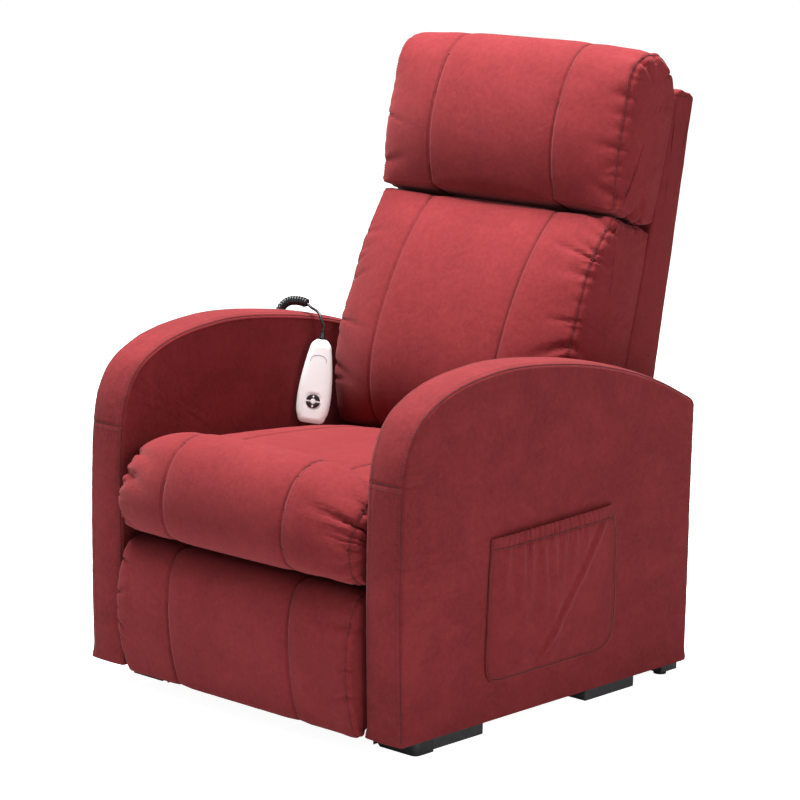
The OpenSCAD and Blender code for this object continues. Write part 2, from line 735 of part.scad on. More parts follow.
module actuator_housing() color([0.10, 0.10, 0.11]) act_place() difference() {
  union() {
    // lug on the base pin
    translate([-11, -13, 0]) cube([22, 26, 22]);
    cross_cyl(0, 22, 13);
    // gear case
    translate([-26, -26, 20]) cube([94, 52, 46]);
  }
  cross_cyl(0, 30, act_pin_r + run);
  translate([0, 0, act_tube_z]) cylinder(h = 20, r = 15.3);
  translate([0, 0, 40]) cylinder(h = 20, r = 6.8);
}
module actuator_motor() color([0.07, 0.07, 0.08]) act_place()
  translate([motor_x, 0, 66.2]) union() {
    cylinder(h = 96, r = 21);
    translate([0, 0, 96]) cylinder(h = 5, r = 12);
  }
module actuator_tube() color([0.62, 0.63, 0.65]) act_place() difference() {
  translate([0, 0, act_tube_z + 0.2]) cylinder(h = 158, r = 15.2);
  translate([0, 0, act_tube_z - 1]) cylinder(h = 170, r = 12.3);
}
module actuator_pin() color(pin_steel) act_pin(act_base_at, 19, 17.7, 20.5);

// hollow rod with a wide-bored eye round the drive pin
module actuator_rod() color([0.80, 0.81, 0.83]) act_place() difference() {
  union() {
    translate([0, 0, 92]) cylinder(h = act_len - 92 - 14, r = 12);
    cross_cyl(act_len, 30, 19);
  }
  cross_cyl(act_len, 34, 11.6);
  translate([0, 0, 91]) cylinder(h = 130, r = 6.6);
}
module lead_screw() color([0.72, 0.73, 0.75])
  act_place() translate([0, 0, 40.4]) cylinder(h = 160, r = 6);

// ---------- every node ----------
base_frame();
front_feet();
side_feet();
rear_feet();
foot_glides();
lift_base_pins();
power_supply();
control_box();
box_lids();
lift_main_links();
lift_front_links();
lift_torque_tube();
lift_frame();
lift_hanger_pins();
front_seat_rail();
rear_seat_rail();
seat_springs();
spring_clips();
right_arm_frame();
left_arm_frame();
right_arm_cover();
left_arm_cover();
arm_bolts();
seat_cushion();
rear_skirt();
side_pocket();
handset_front();
handset_back();
handset_board();
handset_cord();
button_up();
button_down();
back_frame();
back_brackets();
back_webbing();
back_shell();
back_cushion();
head_cushion();
recline_pins();
footrest_rivets();
footrest_upper_links();
upper_link_rivets();
footrest_drive_links();
drive_link_rivets();
footrest_lower_links();
footrest_stay_links();
footrest_brackets();
bracket_rivets();
footrest_board();
footrest_pad();
actuator_housing();
actuator_motor();
actuator_tube();
actuator_pin();
actuator_rod();
lead_screw();
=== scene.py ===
"""A powered lift armchair in brushed red fabric, with a wired handset on its right arm.

The chair faces -Y, its left arm is at +X, and it stands on z = 0. The scene is in metres;
shapes are worked out in millimetres and scaled when their meshes are made.
"""
import bpy, bmesh, math, json
from collections import namedtuple
import numpy as np
from mathutils import Vector, Matrix
from mathutils.bvhtree import BVHTree
from mathutils.kdtree import KDTree


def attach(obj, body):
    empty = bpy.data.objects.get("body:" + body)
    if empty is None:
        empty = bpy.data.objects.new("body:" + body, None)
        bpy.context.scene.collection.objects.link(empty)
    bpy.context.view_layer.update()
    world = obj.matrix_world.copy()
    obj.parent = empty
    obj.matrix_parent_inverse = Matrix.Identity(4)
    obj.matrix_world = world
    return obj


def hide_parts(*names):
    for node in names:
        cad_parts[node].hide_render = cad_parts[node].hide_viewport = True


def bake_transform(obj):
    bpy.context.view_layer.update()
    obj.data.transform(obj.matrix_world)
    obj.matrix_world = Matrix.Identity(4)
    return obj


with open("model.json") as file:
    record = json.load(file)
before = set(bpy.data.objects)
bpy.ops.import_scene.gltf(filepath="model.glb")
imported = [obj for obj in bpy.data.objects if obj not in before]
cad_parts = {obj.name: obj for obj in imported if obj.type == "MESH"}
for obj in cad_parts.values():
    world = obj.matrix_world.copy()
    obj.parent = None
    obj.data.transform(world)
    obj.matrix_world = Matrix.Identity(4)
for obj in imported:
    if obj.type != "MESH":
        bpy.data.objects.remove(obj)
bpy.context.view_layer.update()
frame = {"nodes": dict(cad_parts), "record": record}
NODES = frame["nodes"]
MM = 0.001
scene = bpy.context.scene


# ------------------------------------------------------------------ curves and noise
def arc_length(path):
    """Length along the path at each of its points."""
    return np.concatenate([[0], np.cumsum(np.linalg.norm(np.diff(path, axis=0), axis=1))])


def sample(path, lengths, at):
    """Points of the path, whose own points lie at lengths, at the lengths in at."""
    return np.stack([np.interp(at, lengths, path[:, k]) for k in range(path.shape[1])], 1)


def even(path, count):
    """The path as count points evenly spaced by length."""
    path = np.array(path, float)
    lengths = arc_length(path)
    return sample(path, lengths, np.linspace(0, lengths[-1], count))


def spline(points, count):
    """count points along a smooth curve through points, evenly spaced by length."""
    knots = np.array(points, float)
    knots = np.vstack([2 * knots[0] - knots[1], knots, 2 * knots[-1] - knots[-2]])
    curve = []
    for i in range(1, len(knots) - 2):
        before, start, end, after = knots[i - 1:i + 3]
        span_in = max(np.linalg.norm(start - before) ** 0.5, 1e-6)
        span = max(np.linalg.norm(end - start) ** 0.5, 1e-6)
        span_out = max(np.linalg.norm(after - end) ** 0.5, 1e-6)
        leave = end - start + span * ((start - before) / span_in
                                      - (end - before) / (span_in + span))
        arrive = end - start + span * ((after - end) / span_out
                                       - (after - start) / (span + span_out))
        for s in np.linspace(0, 1, 24, endpoint=False):
            curve.append((2 * s**3 - 3 * s**2 + 1) * start + (s**3 - 2 * s**2 + s) * leave
                         + (-2 * s**3 + 3 * s**2) * end + (s**3 - s**2) * arrive)
    curve.append(knots[-2])
    return even(curve, count)


def smooth(start, end, x):
    """Eases from 0 at start to 1 at end; start may be the larger."""
    t = np.clip((np.asarray(x, float) - start) / (end - start), 0, 1)
    return t * t * (3 - 2 * t)


def ridge(distance, width, height=1.0):
    """A rounded ridge over distance 0."""
    return height * np.exp(-((distance / width) ** 2))


def unit(vectors):
    lengths = np.linalg.norm(vectors, axis=-1, keepdims=True)
    return vectors / np.maximum(lengths, 1e-12)


def wobble(place, seed, scale, octaves=3):
    """Smooth one-dimensional noise, about -1 to 1."""
    turn = 6.283
    draws = np.random.RandomState(seed)
    total, weights = 0.0, 0.0
    for k in range(octaves):
        angle = turn * np.asarray(place, float) * 2.0**k / scale
        phase = draws.rand(4) * turn
        weight = 0.6**k
        total = total + weight * (np.sin(angle + phase[0])
                                  + 0.6 * np.sin(angle * 1.73 + phase[1])
                                  + 0.4 * np.sin(angle * 0.61 + phase[2])) / 2
        weights += weight
    return total / weights


# ------------------------------------------------------------------ meshes
def link(ob):
    scene.collection.objects.link(ob)
    return ob


def new_mesh(name, verts, faces, smooth_shade=True):
    mesh = bpy.data.meshes.new(name)
    mesh.from_pydata((np.asarray(verts, float) * MM).tolist(), [], [tuple(f) for f in faces])
    mesh.update()
    if smooth_shade:
        shade_smooth(mesh)
    return mesh


def shade_smooth(mesh):
    mesh.polygons.foreach_set("use_smooth", [True] * len(mesh.polygons))


def make(name, verts, faces, smooth_shade=True):
    """A linked object from vertices in mm."""
    return link(bpy.data.objects.new(name, new_mesh(name, verts, faces, smooth_shade)))


def swap_mesh(ob, mesh):
    old = ob.data
    ob.data = mesh
    bpy.data.meshes.remove(old)


def grid_faces(rows, cols, wrap=False):
    """Quads of a rows by cols grid; wrap joins the last column to the first."""
    faces = []
    for i in range(rows - 1):
        for j in range(cols if wrap else cols - 1):
            beside = (j + 1) % cols
            faces.append((i * cols + j, i * cols + beside,
                          (i + 1) * cols + beside, (i + 1) * cols + j))
    return faces


def closed_faces(rows, cols):
    """Faces of a stack of rings whose ends meet at two pole vertices after the grid."""
    faces = grid_faces(rows, cols, True)
    pole, last_row = rows * cols, (rows - 1) * cols
    for j in range(cols):
        beside = (j + 1) % cols
        faces.append((pole, beside, j))
        faces.append((pole + 1, last_row + j, last_row + beside))
    return faces


def recalc(ob):
    """Turns every face outward."""
    mesh = bmesh.new()
    mesh.from_mesh(ob.data)
    bmesh.ops.recalc_face_normals(mesh, faces=mesh.faces)
    mesh.to_mesh(ob.data)
    mesh.free()
    return ob


def read_vectors(items, field):
    flat = np.zeros(len(items) * 3)
    items.foreach_get(field, flat)
    return flat.reshape(-1, 3)


def points_mm(ob):
    return read_vectors(ob.data.vertices, "co") / MM


def write_points(ob, points):
    ob.data.vertices.foreach_set("co", (points * MM).ravel())
    ob.data.update()


def push(ob, distance):
    """Moves each vertex along its normal by its distance, mm."""
    ob.data.update()
    normals = read_vectors(ob.data.vertex_normals, "vector")
    write_points(ob, points_mm(ob) + normals * distance[:, None])


def bake(ob):
    """Applies every modifier on ob to its mesh."""
    depsgraph = bpy.context.evaluated_depsgraph_get()
    mesh = bpy.data.meshes.new_from_object(ob.evaluated_get(depsgraph))
    ob.modifiers.clear()
    mesh.name = ob.name
    swap_mesh(ob, mesh)
    shade_smooth(mesh)


def thicken(ob, thickness, offset):
    solid = ob.modifiers.new("t", "SOLIDIFY")
    solid.thickness = thickness * MM
    solid.offset = offset
    bake(ob)
    recalc(ob)


def refine(ob, rows, cols):
    """Doubles a stack of rings with two poles in both directions along smooth curves."""
    points = points_mm(ob)
    body, poles = points[:-2].reshape(rows, cols, 3), points[-2:]
    before, start, end, after = (np.roll(body, k, 1) for k in (1, 0, -1, -2))
    rings = np.empty((rows, cols * 2, 3))
    rings[:, 0::2] = body
    rings[:, 1::2] = (9 * (start + end) - before - after) / 16.0
    grid = np.empty((rows * 2 - 1, cols * 2, 3))
    grid[0::2] = rings
    between = grid[1::2]
    between[1:-1] = (9 * (rings[1:-2] + rings[2:-1]) - rings[:-3] - rings[3:]) / 16.0
    between[0] = (rings[0] + rings[1]) / 2
    between[-1] = (rings[-2] + rings[-1]) / 2
    faces = closed_faces(rows * 2 - 1, cols * 2)
    swap_mesh(ob, new_mesh(ob.name, np.vstack([grid.reshape(-1, 3), poles]), faces))
    recalc(ob)


def at_x(x, outline):
    """A (y, z) outline as points at x."""
    return np.column_stack([np.full(len(outline), x), outline])


def outward_normals(outline, step):
    """Outward normals of a closed outline, from the points step before and after."""
    along = unit(np.roll(outline, -step, 0) - np.roll(outline, step, 0))
    outward = np.column_stack([-along[:, 1], along[:, 0]])
    inverted = np.sum((outline - outline.mean(0)) * outward) < 0
    return -outward if inverted else outward


def rounded(section, half, radius, mask):
    """Section function whose outline draws in along a quarter circle near both ends."""
    def drawn_in(x):
        outline = section(x)
        inside = max(half - abs(x), 0.0)
        if inside >= radius:
            return outline
        depth = radius - math.sqrt(max(radius**2 - (radius - inside) ** 2, 0.0))
        weight = mask(at_x(x, outline))
        weight = sum(np.roll(weight, k) for k in (3, -3, 0, 6, -6)) / 5
        shift = outward_normals(outline, 2) * (depth * weight)[:, None]
        for _ in range(4):
            shift = (np.roll(shift, 1, 0) + 2 * shift + np.roll(shift, -1, 0)) / 4
        return outline - shift
    return drawn_in


def loft(name, xs, section, crown, rings):
    """Closed body from section(x), a closed (y, z) outline at each station in xs.

    Each end is closed by rings that swell outward by crown mm.
    """
    xs = np.asarray(xs, float)

    def end_rings(x, side):
        outline = section(x)
        centre = outline.mean(0)
        scales = [0.985 * (1 - (1 - k / rings) ** 1.5) for k in range(rings, 0, -1)]
        return [at_x(x + side * crown * (1 - scale**2), centre + (outline - centre) * scale)
                for scale in scales]

    rows = end_rings(xs[0], -1)[::-1]
    rows += [at_x(x, section(x)) for x in xs]
    rows += end_rings(xs[-1], 1)
    poles = [[x + side * crown, *section(x).mean(0)] for x, side in ((xs[0], -1), (xs[-1], 1))]
    cols = len(rows[0])
    ob = make(name, np.vstack(rows + [poles]), closed_faces(len(rows), cols))
    ob["rows"], ob["cols"] = len(rows), cols
    return recalc(ob)


def stations(half, seam):
    """Station positions from -half to half, about 8 mm apart, closer at seams and ends."""
    count = int(round(2 * half / 8.0))
    places = {round(-half + 2 * half * i / count, 3) for i in range(count + 1)}
    places = {x for x in places if abs(abs(x) - seam) > 6.0}
    places |= {side * (seam + gap) for gap in (-5, -2.2, 0, 2.2, 5) for side in (1, -1)}
    places = {x for x in places if abs(x) < half - 24}
    end_gaps = (0, 0.5, 1.5, 3, 5, 7.5, 10.5, 14, 18, 23)
    places |= {side * (half - gap) for gap in end_gaps for side in (1, -1)}
    return sorted(places)


def puff(ob, pin, pressure, limit):
    """Inflates ob as cloth held by the pin weights, moving it at most limit mm."""
    frames = 20
    rest = points_mm(ob)
    group = ob.vertex_groups.new(name="pin")
    for i, weight in enumerate(pin):
        if weight > 0.001:
            group.add([i], float(weight), "REPLACE")
    cloth = ob.modifiers.new("cloth", "CLOTH")
    settings = cloth.settings
    settings.quality = 4
    settings.mass = 0.3
    settings.tension_stiffness = settings.compression_stiffness = 15.0
    settings.shear_stiffness = 5
    settings.bending_stiffness = 0.5
    settings.use_pressure = True
    settings.uniform_pressure_force = pressure
    settings.vertex_group_mass = "pin"
    settings.pin_stiffness = 1
    settings.effector_weights.gravity = 0
    cloth.collision_settings.use_collision = False
    cloth.collision_settings.use_self_collision = False
    cloth.point_cache.frame_start = 1
    cloth.point_cache.frame_end = frames
    for number in range(1, frames + 1):
        scene.frame_set(number)
    evaluated = ob.evaluated_get(bpy.context.evaluated_depsgraph_get())
    move = read_vectors(evaluated.to_mesh().vertices, "co") / MM - rest
    evaluated.to_mesh_clear()
    travel = np.linalg.norm(move, axis=1)
    move *= (limit * np.tanh(travel / limit) / np.maximum(travel, 1e-6))[:, None]
    ob.modifiers.remove(cloth)
    ob.vertex_groups.remove(group)
    write_points(ob, rest + move)
    scene.frame_set(1)


def nearest_on(outline, points):
    """Distance from each 2D point to its nearest outline point, and that point's index."""
    lookup = KDTree(len(outline))
    for i, (y, z) in enumerate(outline):
        lookup.insert((y, z, 0.0), i)
    lookup.balance()
    # points within the same quarter millimetre share one search
    keys, inverse = np.unique(np.round(points * 4).astype(np.int64), axis=0,
                              return_inverse=True)
    found = np.array([lookup.find((y, z, 0.0))[1] for y, z in (keys / 4.0).tolist()])
    index = found[np.asarray(inverse).ravel()]
    return np.linalg.norm(points - outline[index], axis=1), index


def tube(path, radius, sides):
    """Vertices and faces of a closed tube; radius is one number or one per point."""
    path = np.asarray(path, float)
    radii = np.broadcast_to(radius, len(path))
    along = unit(np.gradient(path, axis=0))
    across = np.array([0.0, 0, 1]) if abs(along[0][2]) < 0.9 else np.array([1.0, 0, 0])
    verts = []
    for i in range(len(path)):
        across = unit(across - along[i] * (across @ along[i]))
        third = np.cross(along[i], across)
        for k in range(sides):
            angle = 2 * math.pi * k / sides
            verts.append(path[i] + radii[i] * (math.cos(angle) * across
                                               + math.sin(angle) * third))
    verts += [path[0], path[-1]]
    return np.array(verts), closed_faces(len(path), sides)


class Bundle:
    """Gathers many small meshes into one object."""

    def __init__(self):
        self.verts, self.faces, self.count = [], [], 0

    def add(self, verts, faces):
        self.verts.append(np.asarray(verts))
        self.faces += [tuple(i + self.count for i in face) for face in faces]
        self.count += len(verts)

    def build(self, name, smooth_shade=True):
        return make(name, np.vstack(self.verts), self.faces, smooth_shade)


# ------------------------------------------------------------------ materials
def feed(graph, target, source):
    """Links source to the input target, or sets it there as a value."""
    if hasattr(source, "is_linked"):
        graph.links.new(source, target)
    elif target.type == "RGBA":
        target.default_value = (*source, 1)
    else:
        target.default_value = source


def set_inputs(graph, node, inputs):
    for key, source in inputs.items():
        feed(graph, node.inputs[key], source)


def add_node(graph, kind, inputs, **settings):
    node = graph.nodes.new(kind)
    for key, value in settings.items():
        setattr(node, key, value)
    set_inputs(graph, node, inputs)
    return node


def new_material(name):
    material = bpy.data.materials.new(name)
    material.use_nodes = True
    graph = material.node_tree
    graph.nodes.clear()
    output = graph.nodes.new("ShaderNodeOutputMaterial")
    shader = graph.nodes.new("ShaderNodeBsdfPrincipled")
    graph.links.new(shader.outputs[0], output.inputs[0])
    return material, graph, shader


def mapping(graph, vector, **inputs):
    inputs["Vector"] = vector
    return add_node(graph, "ShaderNodeMapping", inputs).outputs[0]


def object_coords(graph, **inputs):
    source = graph.nodes.new("ShaderNodeTexCoord")
    return mapping(graph, source.outputs["Object"], **inputs)


def ramp(graph, factor, stops):
    node = add_node(graph, "ShaderNodeValToRGB", {0: factor})
    elements = node.color_ramp.elements
    while len(elements) < len(stops):
        elements.new(0.5)
    for i, (position, colour) in enumerate(stops):
        elements[i].position = position
        elements[i].color = (*colour, 1)
    return node.outputs[0]


def noise(graph, vector, scale, detail=2.0, roughness=0.5, distortion=0.0):
    inputs = {"Vector": vector, "Scale": scale, "Detail": detail,
              "Roughness": roughness, "Distortion": distortion}
    return add_node(graph, "ShaderNodeTexNoise", inputs).outputs["Fac"]


def calc(graph, operation, *values):
    inputs = dict(enumerate(values))
    return add_node(graph, "ShaderNodeMath", inputs, operation=operation).outputs[0]


def weighted_sum(graph, *terms):
    """Sum of (socket, weight) pairs."""
    parts = [calc(graph, "MULTIPLY", socket, weight) for socket, weight in terms]
    total = parts[0]
    for part in parts[1:]:
        total = calc(graph, "ADD", total, part)
    return total


def mix(graph, factor, first, second):
    inputs = {0: factor, 6: first, 7: second}
    return add_node(graph, "ShaderNodeMix", inputs, data_type="RGBA").outputs[2]


def bump(graph, height, strength, distance, **inputs):
    inputs.update(Height=height, Strength=strength, Distance=distance)
    return add_node(graph, "ShaderNodeBump", inputs).outputs[0]


def tint(colour, factor):
    return tuple(factor * x for x in colour)


def suede(name, base, dark, light, nap, offset=(0, 0, 0)):
    """Brushed microfibre: nap swathes, fibre speckle, sheen, a painted sheen that lightens the
    colour at grazing angles, and a slight weave bump.
    """
    material, graph, shader = new_material(name)
    place = object_coords(graph, Location=offset)
    swathe = noise(graph, place, scale=6.5, detail=4.0, roughness=0.62, distortion=0.7)
    mottle = noise(graph, place, scale=24.0, detail=3.0, roughness=0.6, distortion=0.4)
    stretched = mapping(graph, place, Rotation=(0.6, 0.3, 0.2), Scale=(1.0, 0.22, 1.0))
    streak = noise(graph, stretched, scale=34.0, detail=3.0, roughness=0.6, distortion=0.6)
    fibre = noise(graph, place, scale=1500.0, roughness=0.6)
    speck = noise(graph, place, scale=420.0, roughness=0.6)
    grain = noise(graph, place, scale=120.0, detail=3.0, roughness=0.65, distortion=0.5)
    lumps = noise(graph, place, scale=30.0, detail=3.0, roughness=0.55, distortion=0.3)

    # broad tone first, then finer textures mixed over it; more nap gives harder contrast
    tone = weighted_sum(graph, (swathe, 0.55), (mottle, 0.25), (streak, 0.20))
    spread = 0.16 / nap
    colour = ramp(graph, tone, [(0.5 - spread, dark), (0.5, base), (0.5 + spread, light)])
    fibres = ramp(graph, fibre, [(0.3, tint(base, 0.62)), (0.7, tint(base, 1.35))])
    colour = mix(graph, 0.32, colour, fibres)
    colour = mix(graph, 0.20, colour, ramp(graph, speck, [(0.35, dark), (0.65, light)]))
    colour = mix(graph, 0.28, colour, ramp(graph, grain, [(0.38, dark), (0.62, light)]))
    # painted sheen: the colour turns lighter where the surface turns away from the camera
    painted_sheen_mask = add_node(graph, "ShaderNodeLayerWeight", {"Blend": 0.35}).outputs["Facing"]
    colour = mix(graph, calc(graph, "MULTIPLY", painted_sheen_mask, 0.40), colour, light)

    fine_height = weighted_sum(graph, (fibre, 0.7), (speck, 0.5))
    fine = bump(graph, fine_height, strength=0.35, distance=0.0006)
    set_inputs(graph, shader, {
        "Base Color": colour,
        "Roughness": calc(graph, "ADD", calc(graph, "MULTIPLY", fibre, 0.12), 0.80),
        "Specular IOR Level": 0.10,
        "Sheen Weight": 0.16,
        "Sheen Roughness": 0.45,
        "Sheen Tint": (1.0, 0.45, 0.45),
        "Normal": bump(graph, lumps, strength=0.25, distance=0.004, Normal=fine),
    })
    return material


def plain(name, base, rough, metal=0.0, var=0.15, scale=60.0, relief=0.1, grain=400.0,
          coat=0.0):
    """Moulded, painted or metal surface with fine grain.

    var and scale set the colour drift; relief and grain the strength and scale of the bump.
    """
    material, graph, shader = new_material(name)
    place = object_coords(graph)
    drift = noise(graph, place, scale, detail=4.0, roughness=0.6, distortion=0.3)
    fine = noise(graph, place, grain, detail=3.0, roughness=0.6)
    set_inputs(graph, shader, {
        "Base Color": ramp(graph, drift, [(0.3, tint(base, 1 - var)),
                                          (0.7, tint(base, 1 + var))]),
        "Roughness": calc(graph, "ADD", calc(graph, "MULTIPLY", fine, 0.18), rough - 0.09),
        "Metallic": metal,
        "Coat Weight": coat,
        "Coat Roughness": 0.12,
        "Normal": bump(graph, fine, strength=relief, distance=0.0004),
    })
    return material


def timber(name):
    """Wood with its grain squeezed along z."""
    material, graph, shader = new_material(name)
    grain = noise(graph, object_coords(graph, Scale=(1, 1, 12)),
                  scale=14.0, detail=6.0, roughness=0.65, distortion=1.2)
    shades = [(0.3, (0.36, 0.22, 0.11)), (0.5, (0.50, 0.34, 0.19)), (0.7, (0.60, 0.43, 0.26))]
    set_inputs(graph, shader, {
        "Base Color": ramp(graph, grain, shades),
        "Roughness": 0.62,
        "Normal": bump(graph, grain, strength=0.2, distance=0.0005),
    })
    return material


def weave(name):
    """Dark webbing from two crossed waves."""
    material, graph, shader = new_material(name)
    place = object_coords(graph)
    waves = [add_node(graph, "ShaderNodeTexWave", {"Vector": place, "Scale": 900.0 / 6.28},
                      bands_direction=direction).outputs["Fac"] for direction in "XZ"]
    height = calc(graph, "MULTIPLY", *waves)
    tone = weighted_sum(graph, (height, 0.7), (noise(graph, place, scale=40, detail=3), 0.4))
    set_inputs(graph, shader, {
        "Base Color": ramp(graph, tone, [(0.1, (0.015, 0.015, 0.018)),
                                         (0.9, (0.07, 0.07, 0.08))]),
        "Roughness": 0.85,
        "Normal": bump(graph, height, strength=0.5, distance=0.0005),
    })
    return material


RED = (0.162, 0.0165, 0.0192)
RED_DARK = (0.124, 0.0118, 0.0142)
RED_LIGHT = (0.214, 0.0245, 0.0275)
MATERIALS = {
    "suede": suede("suede_cushion", RED, RED_DARK, RED_LIGHT, nap=1.2),
    "suede_arm": suede("suede_arm", tint(RED, 0.92), tint(RED_DARK, 0.84),
                       tint(RED_LIGHT, 0.95), nap=1.9, offset=(3.1, 1.7, 0.4)),
    "suede_back": suede("suede_back", tint(RED, 0.90), RED_DARK, tint(RED_LIGHT, 0.9),
                        nap=1.3, offset=(7.3, 2.2, 5.4)),
    # painted shadow: dark lines sunk into the seam grooves stand in for the shade there
    "seam": plain("seam_shadow", (0.050, 0.0055, 0.008), rough=0.9, var=0.3, relief=0.3),
    "thread": plain("stitch_thread", (0.085, 0.008, 0.014), rough=0.6, var=0.3, relief=0.4,
                    grain=2500),
    "paint": plain("frame_paint", (0.020, 0.020, 0.022), rough=0.42, var=0.3, relief=0.25,
                   grain=900),
    "foot": plain("foot_plastic", (0.030, 0.030, 0.033), rough=0.48, var=0.25, relief=0.35,
                  grain=1400),
    "foot_grey": plain("foot_plastic_grey", (0.050, 0.050, 0.054), rough=0.42, var=0.2,
                       relief=0.35, grain=1400),
    "rubber": plain("glide_rubber", (0.012, 0.012, 0.012), rough=0.8, var=0.3, relief=0.4,
                    grain=700),
    "zinc": plain("zinc_plate", (0.55, 0.55, 0.57), rough=0.34, metal=1.0, var=0.12,
                  scale=90, relief=0.15),
    "spring": plain("spring_wire", (0.45, 0.46, 0.48), rough=0.30, metal=1.0, var=0.15,
                    scale=50, relief=0.15),
    "chrome": plain("rod_chrome", (0.75, 0.76, 0.78), rough=0.12, metal=1.0, var=0.05,
                    relief=0.05),
    "alloy": plain("alloy_tube", (0.50, 0.51, 0.53), rough=0.35, metal=1.0, var=0.08,
                   relief=0.2, grain=900),
    "timber": timber("ply_timber"),
    "webbing": weave("elastic_webbing"),
    # painted light: the white's slight cyan tint offsets the red light bounced onto the handset
    # from the fabric
    "white": plain("handset_white", (0.88, 0.92, 0.92), rough=0.30, var=0.03, scale=20,
                   relief=0.08, grain=1800, coat=0.3),
    "white_mark": plain("button_marking", (0.82, 0.82, 0.82), rough=0.45, var=0.03,
                        relief=0.1),
    "button": plain("button_rubber", (0.015, 0.015, 0.017), rough=0.42, var=0.25,
                    relief=0.3, grain=2200),
    "cord": plain("cord_jacket", (0.010, 0.010, 0.011), rough=0.36, var=0.3, relief=0.2,
                  grain=1500),
    "black": plain("dark_housing", (0.018, 0.018, 0.020), rough=0.55, var=0.25, relief=0.5,
                   grain=1100),
    "board": plain("circuit_board", (0.01, 0.13, 0.05), rough=0.35, var=0.4, scale=300,
                   relief=0.5, grain=600),
}

# painted light: the white shell glows faintly, so it reads brighter and whiter than the lamps
# and the red bounce light leave it
white_glow_graph = MATERIALS["white"].node_tree
set_inputs(white_glow_graph, white_glow_graph.nodes["Principled BSDF"],
           {"Emission Color": (1, 1, 1), "Emission Strength": 0.12})

# ------------------------------------------------------------------ frame parts
SLOT_MATERIAL = {
    "base_paint": "paint", "foot_plastic": "foot", "glide_rubber": "rubber", "zinc": "zinc",
    "link_paint": "paint", "spring_steel": "spring", "timber": "timber", "suede": "suede",
    "webbing": "webbing", "white_shell": "white", "dark_plastic": "black",
    "cord_jacket": "cord", "circuit": "board", "alloy": "alloy", "rod_chrome": "chrome",
}
NODE_MATERIAL = {"side_feet": "foot_grey", "button_up": "button", "button_down": "button"}
BEVELLED = (
    "front_feet", "side_feet", "rear_feet", "actuator_housing", "power_supply",
    "control_box", "box_lids", "base_frame", "lift_frame", "lift_main_links",
    "lift_front_links", "footrest_brackets", "front_seat_rail", "rear_seat_rail",
    "footrest_board", "back_frame",
)


def soften_edges(name, ob):
    weld = ob.modifiers.new("weld", "WELD")
    weld.merge_threshold = 0.00001
    bevel = ob.modifiers.new("edge", "BEVEL")
    bevel.width = 0.0020 if "feet" in name else 0.0012
    bevel.segments = 2
    bevel.limit_method = "ANGLE"
    bevel.angle_limit = math.radians(40)


slot_of = {part["node"]: part["material_slot"] for part in frame["record"]["subparts"]}
for name, ob in NODES.items():
    material = MATERIALS[NODE_MATERIAL.get(name, SLOT_MATERIAL[slot_of[name]])]
    if not ob.data.materials:
        ob.data.materials.append(material)
    for slot in ob.material_slots:
        slot.link = "OBJECT"
        slot.material = material
    if name in BEVELLED:
        soften_edges(name, ob)


def paint(ob, key):
    ob.data.materials.clear()
    ob.data.materials.append(MATERIALS[key])


def finish(ob, key, body, replaces=()):
    """Paints ob, fixes it to a moving body and hides the CAD pieces it stands for."""
    paint(ob, key)
    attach(ob, body)
    if replaces:
        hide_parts(*replaces)


# ------------------------------------------------------------------ sewing
# one stitch: (place along it as a share of its length, share of full radius) per ring
STITCH_RINGS = ((-0.5, 0.35), (-0.32, 1.0), (0.32, 1.0), (0.5, 0.35))
STITCH_LIFT = 0.2


def add_line(bundle, points, radius):
    bundle.add(*tube(points, radius, sides=6))


def add_stitches(bundle, points, normals, pitch=4.6, length=3.0, radius=0.48):
    """Short raised thread stitches along a surface path."""
    lengths = arc_length(points)
    at = np.arange(pitch / 2, lengths[-1], pitch)
    ahead = sample(points, lengths, np.minimum(at + 1, lengths[-1]))
    behind = sample(points, lengths, np.maximum(at - 1, 0))
    faces = grid_faces(4, 5, True) + [(0, 1, 2, 3, 4), (19, 18, 17, 16, 15)]
    for centre, normal, along in zip(sample(points, lengths, at),
                                     sample(normals, lengths, at), unit(ahead - behind)):
        normal = unit(normal - along * (normal @ along))
        across = np.cross(along, normal)
        verts = []
        for place, share in STITCH_RINGS:
            # the thin ends dip into the fabric
            lift = STITCH_LIFT if abs(place) < 0.4 else STITCH_LIFT - radius * 0.8
            middle = centre + along * length * place + normal * lift
            for k in range(5):
                angle = 2 * math.pi * k / 5
                verts.append(middle + share * radius * (math.cos(angle) * across
                                                        + math.sin(angle) * normal))
        bundle.add(verts, faces)


def surface_of(ob):
    """Search tree of ob's surface, in metres."""
    verts = [Vector(point) for point in read_vectors(ob.data.vertices, "co")]
    return BVHTree.FromPolygons(verts, [tuple(face.vertices) for face in ob.data.polygons])


class Sewing:
    """Dark seam lines, painted shadow in the seam grooves, and stitches on one surface, from
    paths near it in mm.
    """

    def __init__(self, ob):
        self.surface = surface_of(ob)
        self.lines, self.threads = Bundle(), Bundle()

    def snap(self, path, lift=0.0):
        points, normals = [], []
        for point in np.asarray(path, float) * MM:
            place, normal, _, _ = self.surface.find_nearest(Vector(point))
            points.append(np.array(place) / MM + np.array(normal) * lift)
            normals.append(np.array(normal))
        return np.array(points), np.array(normals)

    def line(self, path, radius, sunk):
        points, _ = self.snap(path, -sunk)
        add_line(self.lines, points, radius)

    def stitches(self, path, **size):
        add_stitches(self.threads, *self.snap(path), **size)

    def build(self, prefix, body, thread_name="stitches"):
        # the seam lines take the seam_shadow material, painted shadow in the grooves
        for bundle, suffix, key in ((self.lines, "seams", "seam"),
                                    (self.threads, thread_name, "thread")):
            if bundle.count:
                finish(bundle.build(prefix + "_" + suffix), key, body)


# ------------------------------------------------------------------ pad cushions
Pad = namedtuple("Pad", "name body half seam section")
EDGE_SEAM = 6    # side seams' distance in from the pad's ends


